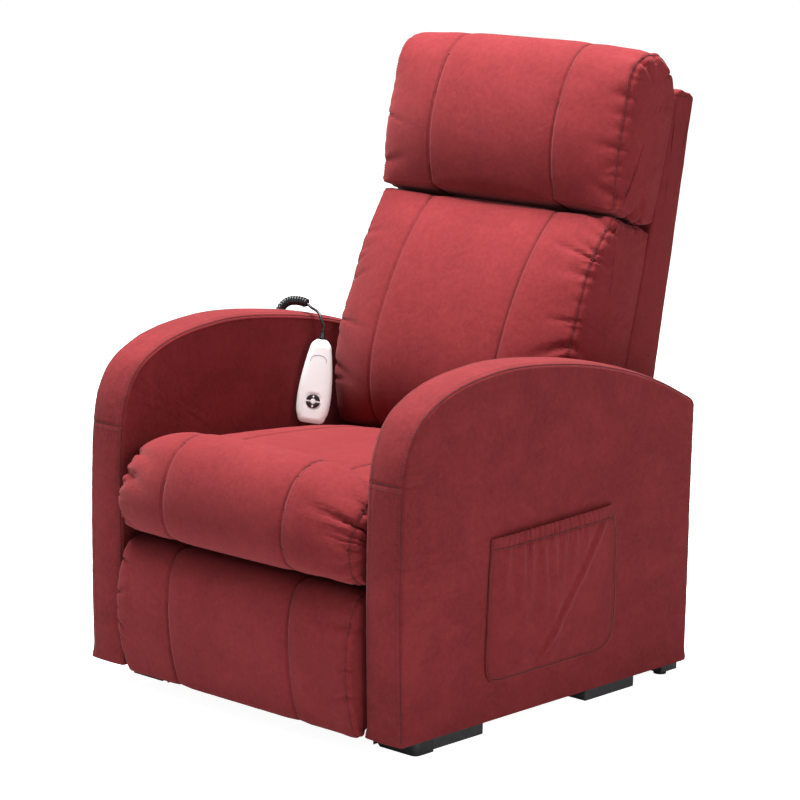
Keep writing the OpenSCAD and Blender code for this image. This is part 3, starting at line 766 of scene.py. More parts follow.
def gather(seed, spacing, total):
    """Irregular tucks along a seam: (place, width, depth, length, slant) each."""
    draws = np.random.RandomState(seed)
    tucks, place = [], spacing * draws.rand()
    while place < total:
        big = draws.rand() ** 2.0
        width = spacing * (0.10 + 0.16 * draws.rand())
        length = 0.35 + 1.1 * big * (0.6 + 0.4 * draws.rand())
        tucks.append((place, width, 0.22 + 1.05 * big, length, draws.randn() * 0.30))
        place += spacing * (0.40 + 0.85 * draws.rand())
    return tucks


def tuck_field(along, away, tucks, reach):
    """Depth of the tucks at a place along the seam and a distance away from it."""
    depth_here = np.zeros(len(along))
    for place, width, depth, length, slant in tucks:
        fade = away / (reach * length)
        across = along - (place + slant * away)
        depth_here += ridge(across, width * (1 + 0.9 * fade), depth) * np.exp(-fade**1.5)
    return depth_here


def gather_fabric(ob, pad, reach, tuck, spacing, seed, front, end_round=14.0,
                  right_share=1.0, dips=None):
    """Sewn seams and gathers. front weights the upholstered faces of the pad;
    right_share scales the tucks at the -X end."""
    points = points_mm(ob)
    outline = pad.section(pad.half)
    off_outline, index = nearest_on(outline, points[:, 1:])
    lengths = arc_length(np.vstack([outline, outline[:1]]))
    across = np.abs(points[:, 0])
    on_end = across >= pad.half - 0.2
    away = np.where(on_end, np.clip(off_outline - end_round, 0, 80) + EDGE_SEAM,
                    np.abs(pad.half - EDGE_SEAM - across))
    shown = front(points)
    folds = np.zeros(len(points))
    for side, seed_step, share in ((-1, 11, right_share), (1, 3, 1.0)):
        tucks = gather(seed + seed_step, spacing, lengths[-1])
        field = tuck_field(lengths[index], away, tucks, reach)
        folds += np.where(np.sign(points[:, 0]) == side, field * share, 0)
    shift = -tuck * folds * np.where(on_end, 0.42, 1.0) * shown
    # crown between the tucks, then the groove of the side seam
    shift += ridge(away - 14, reach * 0.7, 1.8) * shown * np.where(on_end, 0.5, 1.0)
    shift -= ridge(away, 2.6, 2.0) * shown
    # a sharp groove in a wide hollow along the inner seams
    off_seam = np.abs(across - pad.seam)
    shift -= (ridge(off_seam, 3.2, 2.6) + ridge(off_seam, 16.0, 1.6)) * shown
    if dips:
        shift += dips(points)
    push(ob, shift)


def build_pad(pad, corner, mask, crown, rings, hold, pressure, limit, **gathers):
    """corner is the end rounding, weighted by mask; hold gives the cloth's pin weights."""
    ob = loft(pad.name + "_fabric", stations(pad.half, pad.seam),
              rounded(pad.section, pad.half, corner, mask), crown, rings)
    points = points_mm(ob)
    across = np.abs(points[:, 0])
    pin = np.maximum(hold(points), ridge(across - pad.seam, 4.0, 0.9))
    pin = np.maximum(pin, ridge(pad.half - EDGE_SEAM - across, 5.0, 0.85))
    puff(ob, pin, pressure, limit)
    refine(ob, ob["rows"], ob["cols"])
    gather_fabric(ob, pad, **gathers)
    finish(ob, "suede", pad.body, (pad.name,))
    return ob


def blend_outline(middle, side, weight):
    return np.array(middle, float) * (1 - weight) + np.array(side, float) * weight


# the backrest shell's front and rear faces
def shell_front(z):
    return 203 + 0.25 * (z - 300)


def shell_rear(z):
    return 307 + 0.173 * (z - 290)


def on_shell(z):
    """(y, z) of a cushion's rear face, just in front of the shell."""
    return shell_front(z) - 2, z


def off_shell(points, near, far):
    """Rises from 0 to 1 between two distances in front of the shell."""
    return smooth(near, far, shell_front(points[:, 2]) - points[:, 1])


# ---- backrest cushion: (y, z) down its front at the middle and at the sides
BACK_HALF = 262.0
BACK_MIDDLE = [(212, 789), (174, 752), (137, 705), (105, 651), (75, 582), (60, 530),
               (56, 488), (59, 455), (68, 428), (84, 404), (104, 390)]
BACK_SIDE = [(224, 789), (186, 742), (158, 690), (137, 628), (119, 572), (111, 526),
             (108, 483), (110, 450), (114, 420), (116, 402), (122, 388)]


def back_section(x):
    weight = min(1.0, abs(x) / BACK_HALF) ** 3.2
    points = blend_outline(BACK_MIDDLE, BACK_SIDE, weight)
    if x < 0:
        # the upper right side lies further back
        z = points[:, 1]
        points[:, 0] += 10.0 * weight * smooth(540, 640, z) * smooth(792, 745, z)
    front = spline(points, 96)
    bottom = np.linspace(front[-1], on_shell(384), 10, endpoint=False)[1:]
    rear = np.column_stack(on_shell(np.linspace(384, 756, 40)))
    top = spline([on_shell(756), (300, 766), (266, 774), (238, 786), tuple(front[0])], 13)
    return np.vstack([front, bottom, rear, top[1:-1]])


# ---- head cushion: (y, z) up its front and over the top
HEAD_HALF = 265.0
HEAD_MIDDLE = [(211, 808), (201, 846), (198, 888), (202, 926), (212, 962), (228, 1001),
               (253, 1040), (287, 1064), (318, 1064), (344, 1049), (362, 1022), (367, 992)]
HEAD_SIDE = [(222, 800), (224, 846), (229, 890), (235, 925), (243, 955), (250, 990),
             (256, 1018), (272, 1042), (303, 1054), (336, 1050), (360, 1024), (366, 992)]


def head_section(x):
    weight = min(1.0, abs(x) / HEAD_HALF) ** 4.0
    front = spline(blend_outline(HEAD_MIDDLE, HEAD_SIDE, weight), 110)
    rear = np.column_stack(on_shell(np.linspace(975, 790, 24)))
    low = spline([tuple(rear[-1]), (316, 771), (286, 774), (262, 783), (236, 795),
                  tuple(front[0])], 16)
    return np.vstack([front, rear, low[1:-1]])


# ---- seat cushion: (y, z) forward over the flat pad, then over and down the front roll
SEAT_HALF = 266.0
SEAT_MIDDLE = [(112, 360), (110, 384), (88, 396), (40, 408), (-20, 416), (-110, 422),
               (-190, 425), (-245, 425), (-282, 423), (-300, 436), (-325, 447), (-350, 448),
               (-374, 440), (-396, 424), (-413, 398), (-423, 368), (-426, 338),
               (-422, 312), (-410, 288), (-390, 275)]
SEAT_SIDE = [(112, 330), (110, 350), (88, 362), (40, 370), (-20, 378), (-110, 386),
             (-190, 392), (-240, 393), (-270, 390), (-288, 396), (-306, 403), (-330, 403),
             (-352, 397), (-371, 384), (-386, 366), (-396, 344), (-399, 322),
             (-395, 304), (-388, 286), (-376, 276)]
SEAT_CREASE_Y = -283    # where the flat pad meets the roll


def seat_section(x):
    weight = min(1.0, abs(x) / SEAT_HALF) ** 4.0
    top = spline(blend_outline(SEAT_MIDDLE, SEAT_SIDE, weight), 150)
    under = spline([tuple(top[-1]), (-360, 270), (-335, 272)], 8)[1:]
    inner = np.linspace(under[-1], (-320, 304), 6)[1:]
    flat = np.linspace(inner[-1], (106, 305), 60)[1:]
    rise = np.linspace(flat[-1], top[0], 8)[1:-1]
    return np.vstack([top, under, inner, flat, rise])


def seat_mask(points):
    _, y, z = points.T
    return ((0.35 + 0.65 * smooth(-270, -300, y))
            * smooth(306, 335, z + 60 * smooth(-330, -400, y)) * smooth(112, 80, y))


def seat_hold(points):
    _, y, z = points.T
    under = smooth(330, 306, z) * smooth(-336, -316, y)
    crease = ridge(y - SEAT_CREASE_Y, 5.0, 0.8) * (z > 380)
    return np.maximum(np.maximum(under, crease), smooth(70, 105, y))


def seat_front(points):
    _, y, z = points.T
    shown = np.maximum(smooth(-250, -300, y), smooth(330, 360, z))
    return shown * np.where((z < 310) & (y > -330), 0, 1)


def seat_dips(points):
    _, y, z = points.T
    return ridge(y - SEAT_CREASE_Y, 5.0, -3.0) * (z > 370)


# ---- footrest pad: (y, z) down its front
FOOT_HALF = 265.0
FOOT_MIDDLE = [(-340, 262), (-368, 263), (-388, 255), (-401, 234), (-407, 205), (-409, 172),
               (-406, 130), (-400, 92), (-391, 56), (-382, 34), (-372, 28)]
FOOT_SIDE = [(-340, 258), (-362, 258), (-378, 250), (-389, 232), (-397, 205), (-403, 168),
             (-402, 130), (-398, 96), (-390, 64), (-378, 34), (-368, 28)]


def foot_section(x):
    weight = min(1.0, abs(x) / FOOT_HALF) ** 4.0
    front = spline(blend_outline(FOOT_MIDDLE, FOOT_SIDE, weight), 100)
    low = spline([tuple(front[-1]), (-362, 30), (-354, 40), (-340, 44)], 10)[1:]
    rear = np.linspace(low[-1], front[0], 40)[1:-1]
    rear[:, 0] = -337.2
    return np.vstack([front, low, rear])


def foot_dips(points):
    """An uneven hollow along the lower edge."""
    x, _, z = points.T
    return ridge(z - 48, 20.0, -1.2) * (0.5 + 0.5 * wobble(x, seed=5, scale=60.0))


BACK = Pad("back_cushion", "backrest", BACK_HALF, 138, back_section)
HEAD = Pad("head_cushion", "backrest", HEAD_HALF, 136, head_section)
SEAT = Pad("seat_cushion", "chassis", SEAT_HALF, 134, seat_section)
FOOT = Pad("footrest_pad", "footrest", FOOT_HALF, 136, foot_section)

back_cushion = build_pad(
    BACK, corner=15.0, mask=lambda p: off_shell(p, 4, 34), crown=5, rings=9,
    hold=lambda p: np.maximum(1 - off_shell(p, 6, 30), smooth(430, 395, p[:, 2])),
    pressure=3.0, limit=16, reach=46, tuck=6.2, right_share=0.4, spacing=25, seed=5,
    front=lambda p: off_shell(p, 4, 30))
head_cushion = build_pad(
    HEAD, corner=17.0, mask=lambda p: off_shell(p, 4, 34), crown=4, rings=8,
    hold=lambda p: 1 - off_shell(p, 6, 26),
    pressure=3.0, limit=14, reach=44, tuck=6.4, right_share=0.5, spacing=27, seed=21,
    front=lambda p: off_shell(p, 4, 30))
seat_cushion = build_pad(
    SEAT, corner=18.0, mask=seat_mask, crown=2, rings=9, hold=seat_hold,
    pressure=3.0, limit=14, reach=50, tuck=8.0, spacing=20, seed=40,
    front=seat_front, dips=seat_dips)
footrest_pad = build_pad(
    FOOT, corner=11.0, mask=lambda p: smooth(-341, -352, p[:, 1]), crown=2, rings=6,
    hold=lambda p: np.maximum(smooth(-345, -338, p[:, 1]), smooth(70, 40, p[:, 2])),
    pressure=2.0, limit=8, reach=26, tuck=3.6, spacing=22, seed=60, end_round=9.0,
    front=lambda p: smooth(-344, -356, p[:, 1]), dips=foot_dips)

# ------------------------------------------------------------------ arms
ARM_INNER = 275.0
ARM_WIDTH = 75
ARM_OUTER = ARM_INNER + ARM_WIDTH
ARM_BASE_Z = 34
ARM_CENTRE = np.array([-20.0, 300.0])    # (y, z) where the side faces' rings converge
# (y, z) up the front edge and back along the top
ARM_TOP = [(-374, 34), (-378, 120), (-381, 200), (-383, 290), (-383, 360), (-382, 410),
           (-379, 450), (-373, 482), (-363, 508), (-349, 530), (-330, 548), (-306, 562),
           (-276, 575), (-239, 585), (-196, 592), (-139, 597), (-81, 596), (-15, 590),
           (52, 581), (121, 567), (192, 548), (265, 521), (330, 491)]
# stations across the strip from the inner face, and ring scales on the side faces
STRIP_STATIONS = [0, 0.6, 1.6, 3.2, 5.5, 9, 13, 18, 24, 31, 37.5, 44, 51, 57, 62, 66, 69.5,
                  71.8, 73.4, 74.4, 75]
FACE_SCALES = [0.02, 0.12, 0.24, 0.36, 0.48, 0.58, 0.67, 0.75, 0.82, 0.88, 0.92, 0.95,
               0.972, 0.986, 0.994]


def make_arm_outline():
    top = spline(ARM_TOP, 230)
    corner = spline([tuple(top[-1]), (340, 485), (345, 477), (345.5, 466)], 10)[1:]
    rear = even([(345.5, 466), (343, 264), (338, 40), (336, 36), (331, ARM_BASE_Z)], 66)[1:]
    bottom = np.linspace((331, ARM_BASE_Z), (-374, ARM_BASE_Z), 90)[1:-1]
    return np.vstack([top, corner, rear, bottom])


ARM_OUTLINE = make_arm_outline()
ARM_OUTWARD = outward_normals(ARM_OUTLINE, 1)
ARM_STRIP_ON = smooth(34, 60, ARM_OUTLINE[:, 1])    # 0 at the floor, 1 above it


def arm_section(across):
    """Outline at a distance across the strip from the inner face."""
    radius = 7.0
    edge = min(across, ARM_WIDTH - across)
    inset = 0.0
    if edge < radius:
        inset = radius - math.sqrt(max(radius**2 - (radius - edge) ** 2, 0))
    half = ARM_WIDTH / 2
    crown = 4.0 * (1 - ((across - half) / half) ** 2)
    shift = (crown - inset * 0.85) * (0.25 + 0.75 * ARM_STRIP_ON) - 2.5 * ARM_STRIP_ON
    return ARM_OUTLINE + ARM_OUTWARD * shift[:, None]


def arm_body(name, side):
    def face_ring(scale, x):
        return at_x(x, ARM_CENTRE + (edge_outline - ARM_CENTRE) * scale)

    edge_outline = arm_section(0)
    swell = [(1 - scale**6) * 2.2 for scale in FACE_SCALES]
    faces = list(zip(FACE_SCALES, swell))
    rows = [face_ring(scale, ARM_INNER - out * 0.6 + 0.6) for scale, out in faces]
    rows += [at_x(ARM_INNER + across, arm_section(across)) for across in STRIP_STATIONS]
    rows += [face_ring(scale, ARM_OUTER + out) for scale, out in faces[::-1]]
    poles = [[row[0][0], *ARM_CENTRE] for row in (rows[0], rows[-1])]
    verts = np.vstack(rows + [poles])
    # the outer face leans out towards the floor
    verts[:, 0] += 4.5 * smooth(450, 40, verts[:, 2]) * smooth(300, 345, verts[:, 0])
    verts[:, 0] *= side
    cols = len(ARM_OUTLINE)
    ob = make(name, verts, closed_faces(len(rows), cols))
    refine(ob, len(rows), cols)
    return ob


def wrinkle_arm(ob, side):
    x, y, z = points_mm(ob).T
    x = np.abs(x)
    off_outline, index = nearest_on(ARM_OUTLINE, np.column_stack([y, z]))
    along = arc_length(ARM_OUTLINE)[index]
    outline_z = ARM_OUTLINE[index, 1]
    shift = np.zeros(len(x))
    # edge seams where the strip meets the faces
    for edge in (ARM_INNER, ARM_OUTER):
        near = np.abs(x - edge) + np.maximum(off_outline - 4, 0)
        shift -= ridge(near, 2.6, 1.5) * smooth(36, 50, outline_z)
    # cross seam on the front of the strip with faint pulls
    front = (y < -330) & (x > ARM_INNER + 2) & (x < ARM_OUTER + 3)
    pulls = wobble(x, seed=3 + side, scale=26.0) * ridge(z - 430, 26.0, 0.9)
    shift += np.where(front, pulls - ridge(z - 441, 2.6, 1.4), 0)
    # soft pulls of the fabric along the strip edges and across the faces
    seed = 17 if side > 0 else 29
    off_edge = np.minimum(np.abs(x - ARM_INNER), np.abs(x - ARM_OUTER))
    shift += (wobble(along, seed, scale=44.0) * ridge(off_edge, 8.0, 0.55)
              * smooth(60, 200, outline_z))
    on_face = smooth(3, 60, off_outline)
    shift += 0.7 * wobble(y * 0.8 + z * 0.5, seed + 1, scale=210.0) * on_face
    shift += 0.5 * wobble(z - y * 0.3, seed + 2, scale=120.0) * on_face
    push(ob, shift)


def sew_arm(ob, prefix, side):
    sewing = Sewing(ob)
    above = ARM_OUTLINE[:, 1] >= ARM_BASE_Z + 1.5
    path, outward = ARM_OUTLINE[above], ARM_OUTWARD[above]
    for edge, inward in ((ARM_INNER, 1), (ARM_OUTER, -1)):
        seam = at_x(side * (edge + inward * 0.6), path + outward * -2.0)
        sewing.line(even(seam, 420), radius=0.7, sunk=0.1)
        row = at_x(side * (edge + inward * 9.0), path + outward * 3.0)
        sewing.stitches(even(row, 420), pitch=5.0, length=3.2, radius=0.55)
    xs = np.linspace(278, 347.5, 24)
    sewing.line([(side * x, -384, 441) for x in xs], radius=0.7, sunk=0.1)
    sewing.stitches([(side * x, -384, 433) for x in xs], radius=0.5)
    sewing.build(prefix, "chassis", "topstitch")


def build_arm(prefix, side):
    ob = arm_body(prefix + "_fabric", side)
    wrinkle_arm(ob, side)
    finish(ob, "suede_arm", "chassis", (prefix + "_cover",))
    sew_arm(ob, prefix, side)
    return ob


left_arm = build_arm("left_arm", 1)
build_arm("right_arm", -1)


# ------------------------------------------------------------------ seams on the pads
def sew_pad(pad, ob, inner, outer=None):
    """inner and outer are the parts of the outline sewn at the inner and side seams."""
    sewing = Sewing(ob)

    def both_sides(outline, seam_x, stitch_x, **size):
        for side in (-1, 1):
            sewing.line(even(at_x(side * seam_x, outline), 260), radius=0.62, sunk=0.3)
            sewing.stitches(even(at_x(side * stitch_x, outline), 260), radius=0.5, **size)

    edge = pad.half - EDGE_SEAM
    both_sides(pad.section(pad.seam)[inner], pad.seam, pad.seam + 5.0, pitch=5.0, length=3.0)
    both_sides(pad.section(pad.half)[outer or inner], edge, edge - 5.5, pitch=4.8, length=2.8)
    sewing.build(pad.name, pad.body)


sew_pad(BACK, back_cushion, slice(0, 90))
sew_pad(HEAD, head_cushion, slice(0, 108))
sew_pad(SEAT, seat_cushion, slice(4, 150), slice(40, 150))
sew_pad(FOOT, footrest_pad, slice(6, 98))

# ------------------------------------------------------------------ backrest shell
SHELL_HALF = 262
SHELL_ENDS = [255, 257.5, 259.5, 261.2, SHELL_HALF]    # close stations at each end
SHELL_REAR_SEAM = 250


def shell_section(x):
    radius = 6
    past = max(0.0, abs(x) - (SHELL_HALF - radius))
    inset = radius - math.sqrt(max(radius**2 - past**2, 0))
    bow = 4.0 * (1 - (abs(x) / SHELL_HALF) ** 2)
    front = even([(shell_front(z) + inset, z) for z in (310, 640, 972)], 60)
    top = spline([(shell_front(972) + inset, 972),
                  (shell_front(985) + 2 + inset * 0.5, 986 - inset * 0.5),
                  (shell_front(990) + 14, 991.5 - inset * 0.5),
                  (404, 986.5 - inset * 0.5),
                  (418, 983 - inset * 0.5),
                  (424 - inset * 0.7, 976 - inset * 0.3),
                  (shell_rear(966) - inset, 966)], 20)
    zs = np.linspace(966, 318, 60)
    rear_y = shell_rear(zs) - inset + bow * np.sin(np.pi * (zs - 318) / 650)
    bottom = spline([(shell_rear(318) - inset, 318),
                     (shell_rear(308) - 3 - inset, 309),
                     (296, 305),
                     (230, 303),
                     (shell_front(305) + 4 + inset, 306),
                     (shell_front(310) + inset, 310)], 18)
    return np.vstack([front, top[1:-1], np.column_stack([rear_y, zs]), bottom[1:-1]])


def build_shell():
    xs = [-x for x in SHELL_ENDS[::-1]] + list(np.linspace(-248, 248, 56)) + SHELL_ENDS
    ob = loft("back_shell_fabric", xs, shell_section, crown=1.2, rings=8)
    refine(ob, ob["rows"], ob["cols"])
    x, y, z = points_mm(ob).T
    across = np.abs(x)
    shift = (0.6 * wobble(z + x * 0.4, seed=8, scale=150.0)
             + 0.5 * wobble(x - z * 0.2, seed=9, scale=110.0))
    # grooves of the rear seams and of the seam near the top of each side
    shift -= ridge(across - SHELL_REAR_SEAM, 3.0, 1.2) * (shell_rear(z) - y < 10)
    shift -= ridge(z - 981, 2.5, 1.2) * (across > 258)
    push(ob, shift)
    finish(ob, "suede_back", "backrest", ("back_shell",))
    return ob


def sew_shell(ob):
    sewing = Sewing(ob)
    zs = np.linspace(966, 330, 120)
    rear = np.column_stack([shell_rear(zs) + 4, zs])
    for side in (-1, 1):
        sewing.line(at_x(side * SHELL_REAR_SEAM, rear), radius=0.8, sunk=0.2)
        sewing.stitches(at_x(side * (SHELL_REAR_SEAM - 7), rear))
        # seam along the top edge of the side
        sewing.line([(side * SHELL_HALF, y, 983 - (y - 376) * 0.16)
                     for y in np.linspace(378, 420, 24)], radius=0.7, sunk=0.2)
    sewing.line([(x, 424, 972) for x in np.linspace(-250, 250, 90)], radius=0.8, sunk=0.2)
    sewing.stitches([(x, 424, 964) for x in np.linspace(-246, 246, 90)])
    sewing.build("back_shell", "backrest")


sew_shell(build_shell())


# ------------------------------------------------------------------ rear skirt and flap
def sheet(name, shape, rows, cols, thickness):
    """A thick sheet through shape(u, v), with u and v from 0 to 1."""
    points = [shape(u, v) for u in np.linspace(0, 1, rows) for v in np.linspace(0, 1, cols)]
    ob = make(name, points, grid_faces(rows, cols))
    thicken(ob, thickness, offset=0)
    return ob


def skirt_shape(u, v):
    """Hangs behind the chassis, waving most at its lower edge."""
    x = -271 + 542 * u
    y = (SKIRT_Y + 2.2 * wobble(x, seed=31, scale=160.0) * (1 - v)
         + 1.4 * wobble(x, seed=32, scale=60.0) * (1 - v) ** 2)
    return x, y, 40 + 158 * v


def flap_shape(u, v):
    """Bridges from the top of the skirt to the foot of the backrest shell."""
    x = -256 + 512 * u
    low_z, high_z = 196, 322
    y = (SKIRT_Y - 2) * (1 - v) + (shell_rear(high_z) - 1.5) * v
    y += 1.6 * math.sin(math.pi * v) * wobble(x, seed=35, scale=120.0)
    return x, y, low_z + (high_z - low_z) * v


SKIRT_Y = 327
skirt = sheet("rear_skirt_fabric", skirt_shape, rows=120, cols=30, thickness=3.0)
finish(skirt, "suede_back", "chassis", ("rear_skirt",))
skirt_sewing = Sewing(skirt)
skirt_sewing.stitches([(x, 335, 50) for x in np.linspace(-268, 268, 110)])
skirt_sewing.build("rear_skirt", "chassis")

flap = sheet("rear_flap_fabric", flap_shape, rows=110, cols=26, thickness=2.0)
paint(flap, "suede_back")
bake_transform(flap)

# ------------------------------------------------------------------ side pocket
# On the left arm's outer face. (y, z) up its front and rear edges:
POCKET_FRONT = [(-170, 98.5), (-181, 105), (-187.5, 118), (-189, 140), (-188, 180),
                (-185, 235), (-181, 290), (-178, 331)]
POCKET_REAR = [(96, 99), (112, 105), (124, 117), (131, 140), (133.5, 170), (134, 220),
               (133.5, 270), (132, 300), (126, 325), (120, 340)]
# folds below the hem, as shares of the pocket: (place, width, depth, length, slant)
POCKET_FOLDS = [(0.12, 0.018, 1.6, 0.35, 0.0), (0.22, 0.024, 2.4, 0.6, 0.02),
                (0.30, 0.02, 1.8, 0.45, 0.0), (0.38, 0.024, 2.6, 0.75, 0.03),
                (0.47, 0.022, 2.2, 0.9, 0.02), (0.56, 0.02, 1.6, 0.5, -0.02),
                (0.66, 0.02, 1.4, 0.4, -0.03), (0.76, 0.018, 1.2, 0.35, -0.04)]
# (y, z) of the sewn outline, from the front top corner round the bottom
POCKET_SEAM = [(-175, 326), (-180, 290), (-184, 235), (-187, 180), (-186.5, 138),
               (-184, 119), (-177, 106), (-160, 101.5), (-140, 100.5), (-60, 100.8),
               (40, 101.5), (92, 102), (108, 107), (121, 119), (128, 142), (131, 180),
               (131, 240), (130.5, 290), (124, 320), (119, 334)]
POCKET_COLS, POCKET_ROWS = 180, 110


def cast_inward(surface, from_x, y, z):
    """First point in metres met from from_x towards -X, or None."""
    return surface.ray_cast(Vector((from_x * MM, y * MM, z * MM)), Vector((-1, 0, 0)))[0]


def build_pocket():
    # u runs from the front edge to the rear, v from the bottom up
    u = np.linspace(0, 1, POCKET_COLS)[:, None]
    v = np.linspace(0, 1, POCKET_ROWS)[None, :]
    steps = np.linspace(0, 1, 80)
    front, rear = (sample(spline(edge, 80), steps, v[0]) for edge in (POCKET_FRONT, POCKET_REAR))
    y = front[:, 0] * (1 - u) + rear[:, 0] * u
    z = front[:, 1] * (1 - u) + rear[:, 1] * u

    from_edge = np.minimum(u, 1 - u) * 300
    height = v * 235
    bulge = (5.0 * (1 - np.exp(-from_edge / 26)) * (1 - np.exp(-height / 22))
             * (0.75 + 0.25 * v))
    relief = np.zeros_like(y)
    # folds falling from the gathered hem
    down = 0.92 - v
    below = np.maximum(down, 0)
    for place, width, depth, length, slant in POCKET_FOLDS:
        across = u - place - slant * down * 3
        relief += ridge(across, width * (1 + 1.4 * below), 1.7 * depth) * ridge(below, length)
    # long diagonal drag line from the rear top corner to the bottom middle
    off_drag = u - (0.93 - (0.95 - v) * 0.62)
    fade = smooth(0.05, 0.3, v) * smooth(1.0, 0.85, v)
    relief += (ridge(off_drag, 0.020, 3.2) - ridge(off_drag + 0.045, 0.03, 1.8)) * fade
    # ruched hem band, with grooves below it and at its top edge
    hem = smooth(0.905, 0.93, v)
    ruche = wobble(u * 320, seed=77, scale=13.0, octaves=2)
    ruche = ruche * 2.6 * np.exp(-(((u - 0.45) / 0.40) ** 4))
    relief = relief * (1 - hem) + hem * (ruche + 1.2)
    relief -= ridge(v - 0.912, 0.006, 1.6)
    relief += ruche * ridge(0.90 - v, 0.05, 0.8) * (v < 0.905)
    relief -= ridge(v - 0.997, 0.01, 0.8)
    relief *= (1 - np.exp(-from_edge / 5)) * (1 - np.exp(-height / 10))
    z = z + hem * 0.9 * ruche * smooth(0.95, 1.0, v)

    arm = surface_of(left_arm)
    points = []
    for out, py, pz in zip((bulge + relief).ravel(), y.ravel(), z.ravel()):
        hit = cast_inward(arm, 400, py, pz)
        arm_x = 352.0 if hit is None else hit.x / MM
        points.append((arm_x + 1.2 + out, py, pz))
    ob = make("side_pocket_fabric", points, grid_faces(POCKET_COLS, POCKET_ROWS))
    thicken(ob, 1.6, offset=-1)
    finish(ob, "suede_arm", "chassis", ("side_pocket",))
    return ob


def sew_pocket(ob):
    sewing = Sewing(ob)

    def project(path, lift=0.0):
        hits = [cast_inward(sewing.surface, 420, y, z) for y, z in path]
        points = np.array([np.array(hit) / MM for hit in hits if hit is not None])
        return points + np.array((lift, 0, 0)), np.tile((1.0, 0, 0), (len(points), 1))

    outline = spline(POCKET_SEAM, 460)
    add_line(sewing.lines, project(outline)[0], radius=0.7)
    centre = outline.mean(0)
    add_stitches(sewing.threads, *project(centre + (outline - centre) * 0.965, lift=0.3),
                 radius=0.5)
    hem = [(-178 + 306 * share, 313 + 7.5 * share) for share in np.linspace(0.01, 0.985, 240)]
    points, normals = project(hem, lift=0.2)
    add_line(sewing.lines, points, radius=0.6)
    add_stitches(sewing.threads, points + np.array([0.4, 0, -2.2]), normals, radius=0.5)
    sewing.build("side_pocket", "chassis")


sew_pocket(build_pocket())

# ------------------------------------------------------------------ handset
# Built upright about its own centre with its face to -Y, then placed inside the right arm.
HANDSET = (Matrix.Translation(Vector((-0.2415, 0.0425, 0.468)))
           @ Matrix.Rotation(math.radians(38), 4, "Z")
           @ Matrix.Rotation(math.radians(6.5), 4, "Y")
           @ Matrix.Rotation(math.radians(-6), 4, "X"))
HANDSET_LENGTH = 146.0
HANDSET_TOP = HANDSET_LENGTH / 2
BUTTON_Z = -34.0       # centre of the button pair
WELL_FLOOR = -9.4      # y where the disc and bar between the buttons start


def place(points):
    """Handset points, mm, moved to where the handset hangs."""
    return np.array([HANDSET @ Vector(p) for p in np.asarray(points, float) * MM]) / MM


def handset_half_width(t):
    """Half width at t, 0 at the foot to 1 at the top."""
    belly = 15 + 12.5 * math.sin(math.pi * t**0.62) ** 0.8
    return belly + 3 * min(t / 0.12, 1) - 3 * t


def handset_shell(front):
    """Rounded clamshell half: the front bulges to -Y, the rear to +Y."""
    rows, cols = 90, 26
    foot_radius, top_radius = 11.0, 14.0
    angles = np.linspace(0, math.pi, cols)
    cosines = np.cos(angles)
    across = np.sign(cosines) * np.abs(cosines) ** (2 / 3.4)
    bulge = np.abs(np.sin(angles)) ** (2 / 3.2)
    verts = []
    for i in range(rows):
        t = 0.5 - 0.5 * math.cos(math.pi * i / (rows - 1))
        end = 1.0
        for gap, radius in ((t, foot_radius), (1 - t, top_radius)):
            gap = min(gap * HANDSET_LENGTH, radius)
            end *= math.sqrt(max(1 - (1 - gap / radius) ** 2, 0))
        narrow = 0.58 if t < 0.5 else 0.34
        width = (handset_half_width(min(max(t, 0.07), 0.98)) - 0.2) * (
            narrow + (1 - narrow) * end)
        depth = 11.0 * (0.25 + 0.75 * end) * (1.0 if front else 0.95)
        y = (-1 if front else 1) * (depth * bulge * 0.985 + 0.15)
        z = np.full(cols, (t - 0.5) * HANDSET_LENGTH)
        verts.append(np.column_stack([width * across, y, z]))
    verts = np.vstack(verts)
    if front:
        # round well for the buttons
        x, y, z = verts.T
        well = (y < -8.0) & (np.hypot(x, z - BUTTON_Z) < 14.2)
        verts[:, 1] = np.where(well, np.maximum(y, -9.6), y)
    faces = grid_faces(rows, cols)
    # close the parting plane and the ends
    for i in range(rows - 1):
        low, high = i * cols, (i + 1) * cols
        faces.append((low, high, high + cols - 1, low + cols - 1))
    faces.append(tuple(range(cols)))
    faces.append(tuple((rows - 1) * cols + k for k in range(cols))[::-1])
    ob = make("handset_front_shell" if front else "handset_rear_shell", place(verts), faces)
    recalc(ob)
    subsurf = ob.modifiers.new("s", "SUBSURF")
    subsurf.levels = subsurf.render_levels = 1
    bake(ob)
    node = "handset_front" if front else "handset_back"
    finish(ob, "white", "chassis", (node,))
    return ob


def grip_line(shell):
    """Arched line on the upper face."""
    surface = surface_of(shell)
    inward = (HANDSET.to_3x3() @ Vector((0, 1, 0))).normalized()
    arch = [(-13.5 * math.cos(a), 38 + 8.5 * math.sin(a)) for a in np.linspace(0, math.pi, 24)]
    points = []
    for x, z in [(-13.5, 34)] + arch + [(13.5, 34)]:
        hit = surface.ray_cast(HANDSET @ Vector((x * MM, -0.05, z * MM)), inward)[0]
        points.append(np.array(hit) / MM - np.array(inward) * 0.05)
    bundle = Bundle()
    add_line(bundle, points, radius=0.35)
    finish(bundle.build("handset_grip_line"), "black", "chassis")


def prism(outline, start_y, end_y):
    """Vertices and faces of an (x, z) outline drawn out along y, placed on the handset."""
    count = len(outline)
    verts = [(x, y, z) for y in (start_y, end_y) for x, z in outline]
    faces = [tuple(range(count)), tuple(range(count, 2 * count))[::-1]]
    for i in range(count):
        beside = (i + 1) % count
        faces.append((i, beside, count + beside, count + i))
    return place(verts), faces


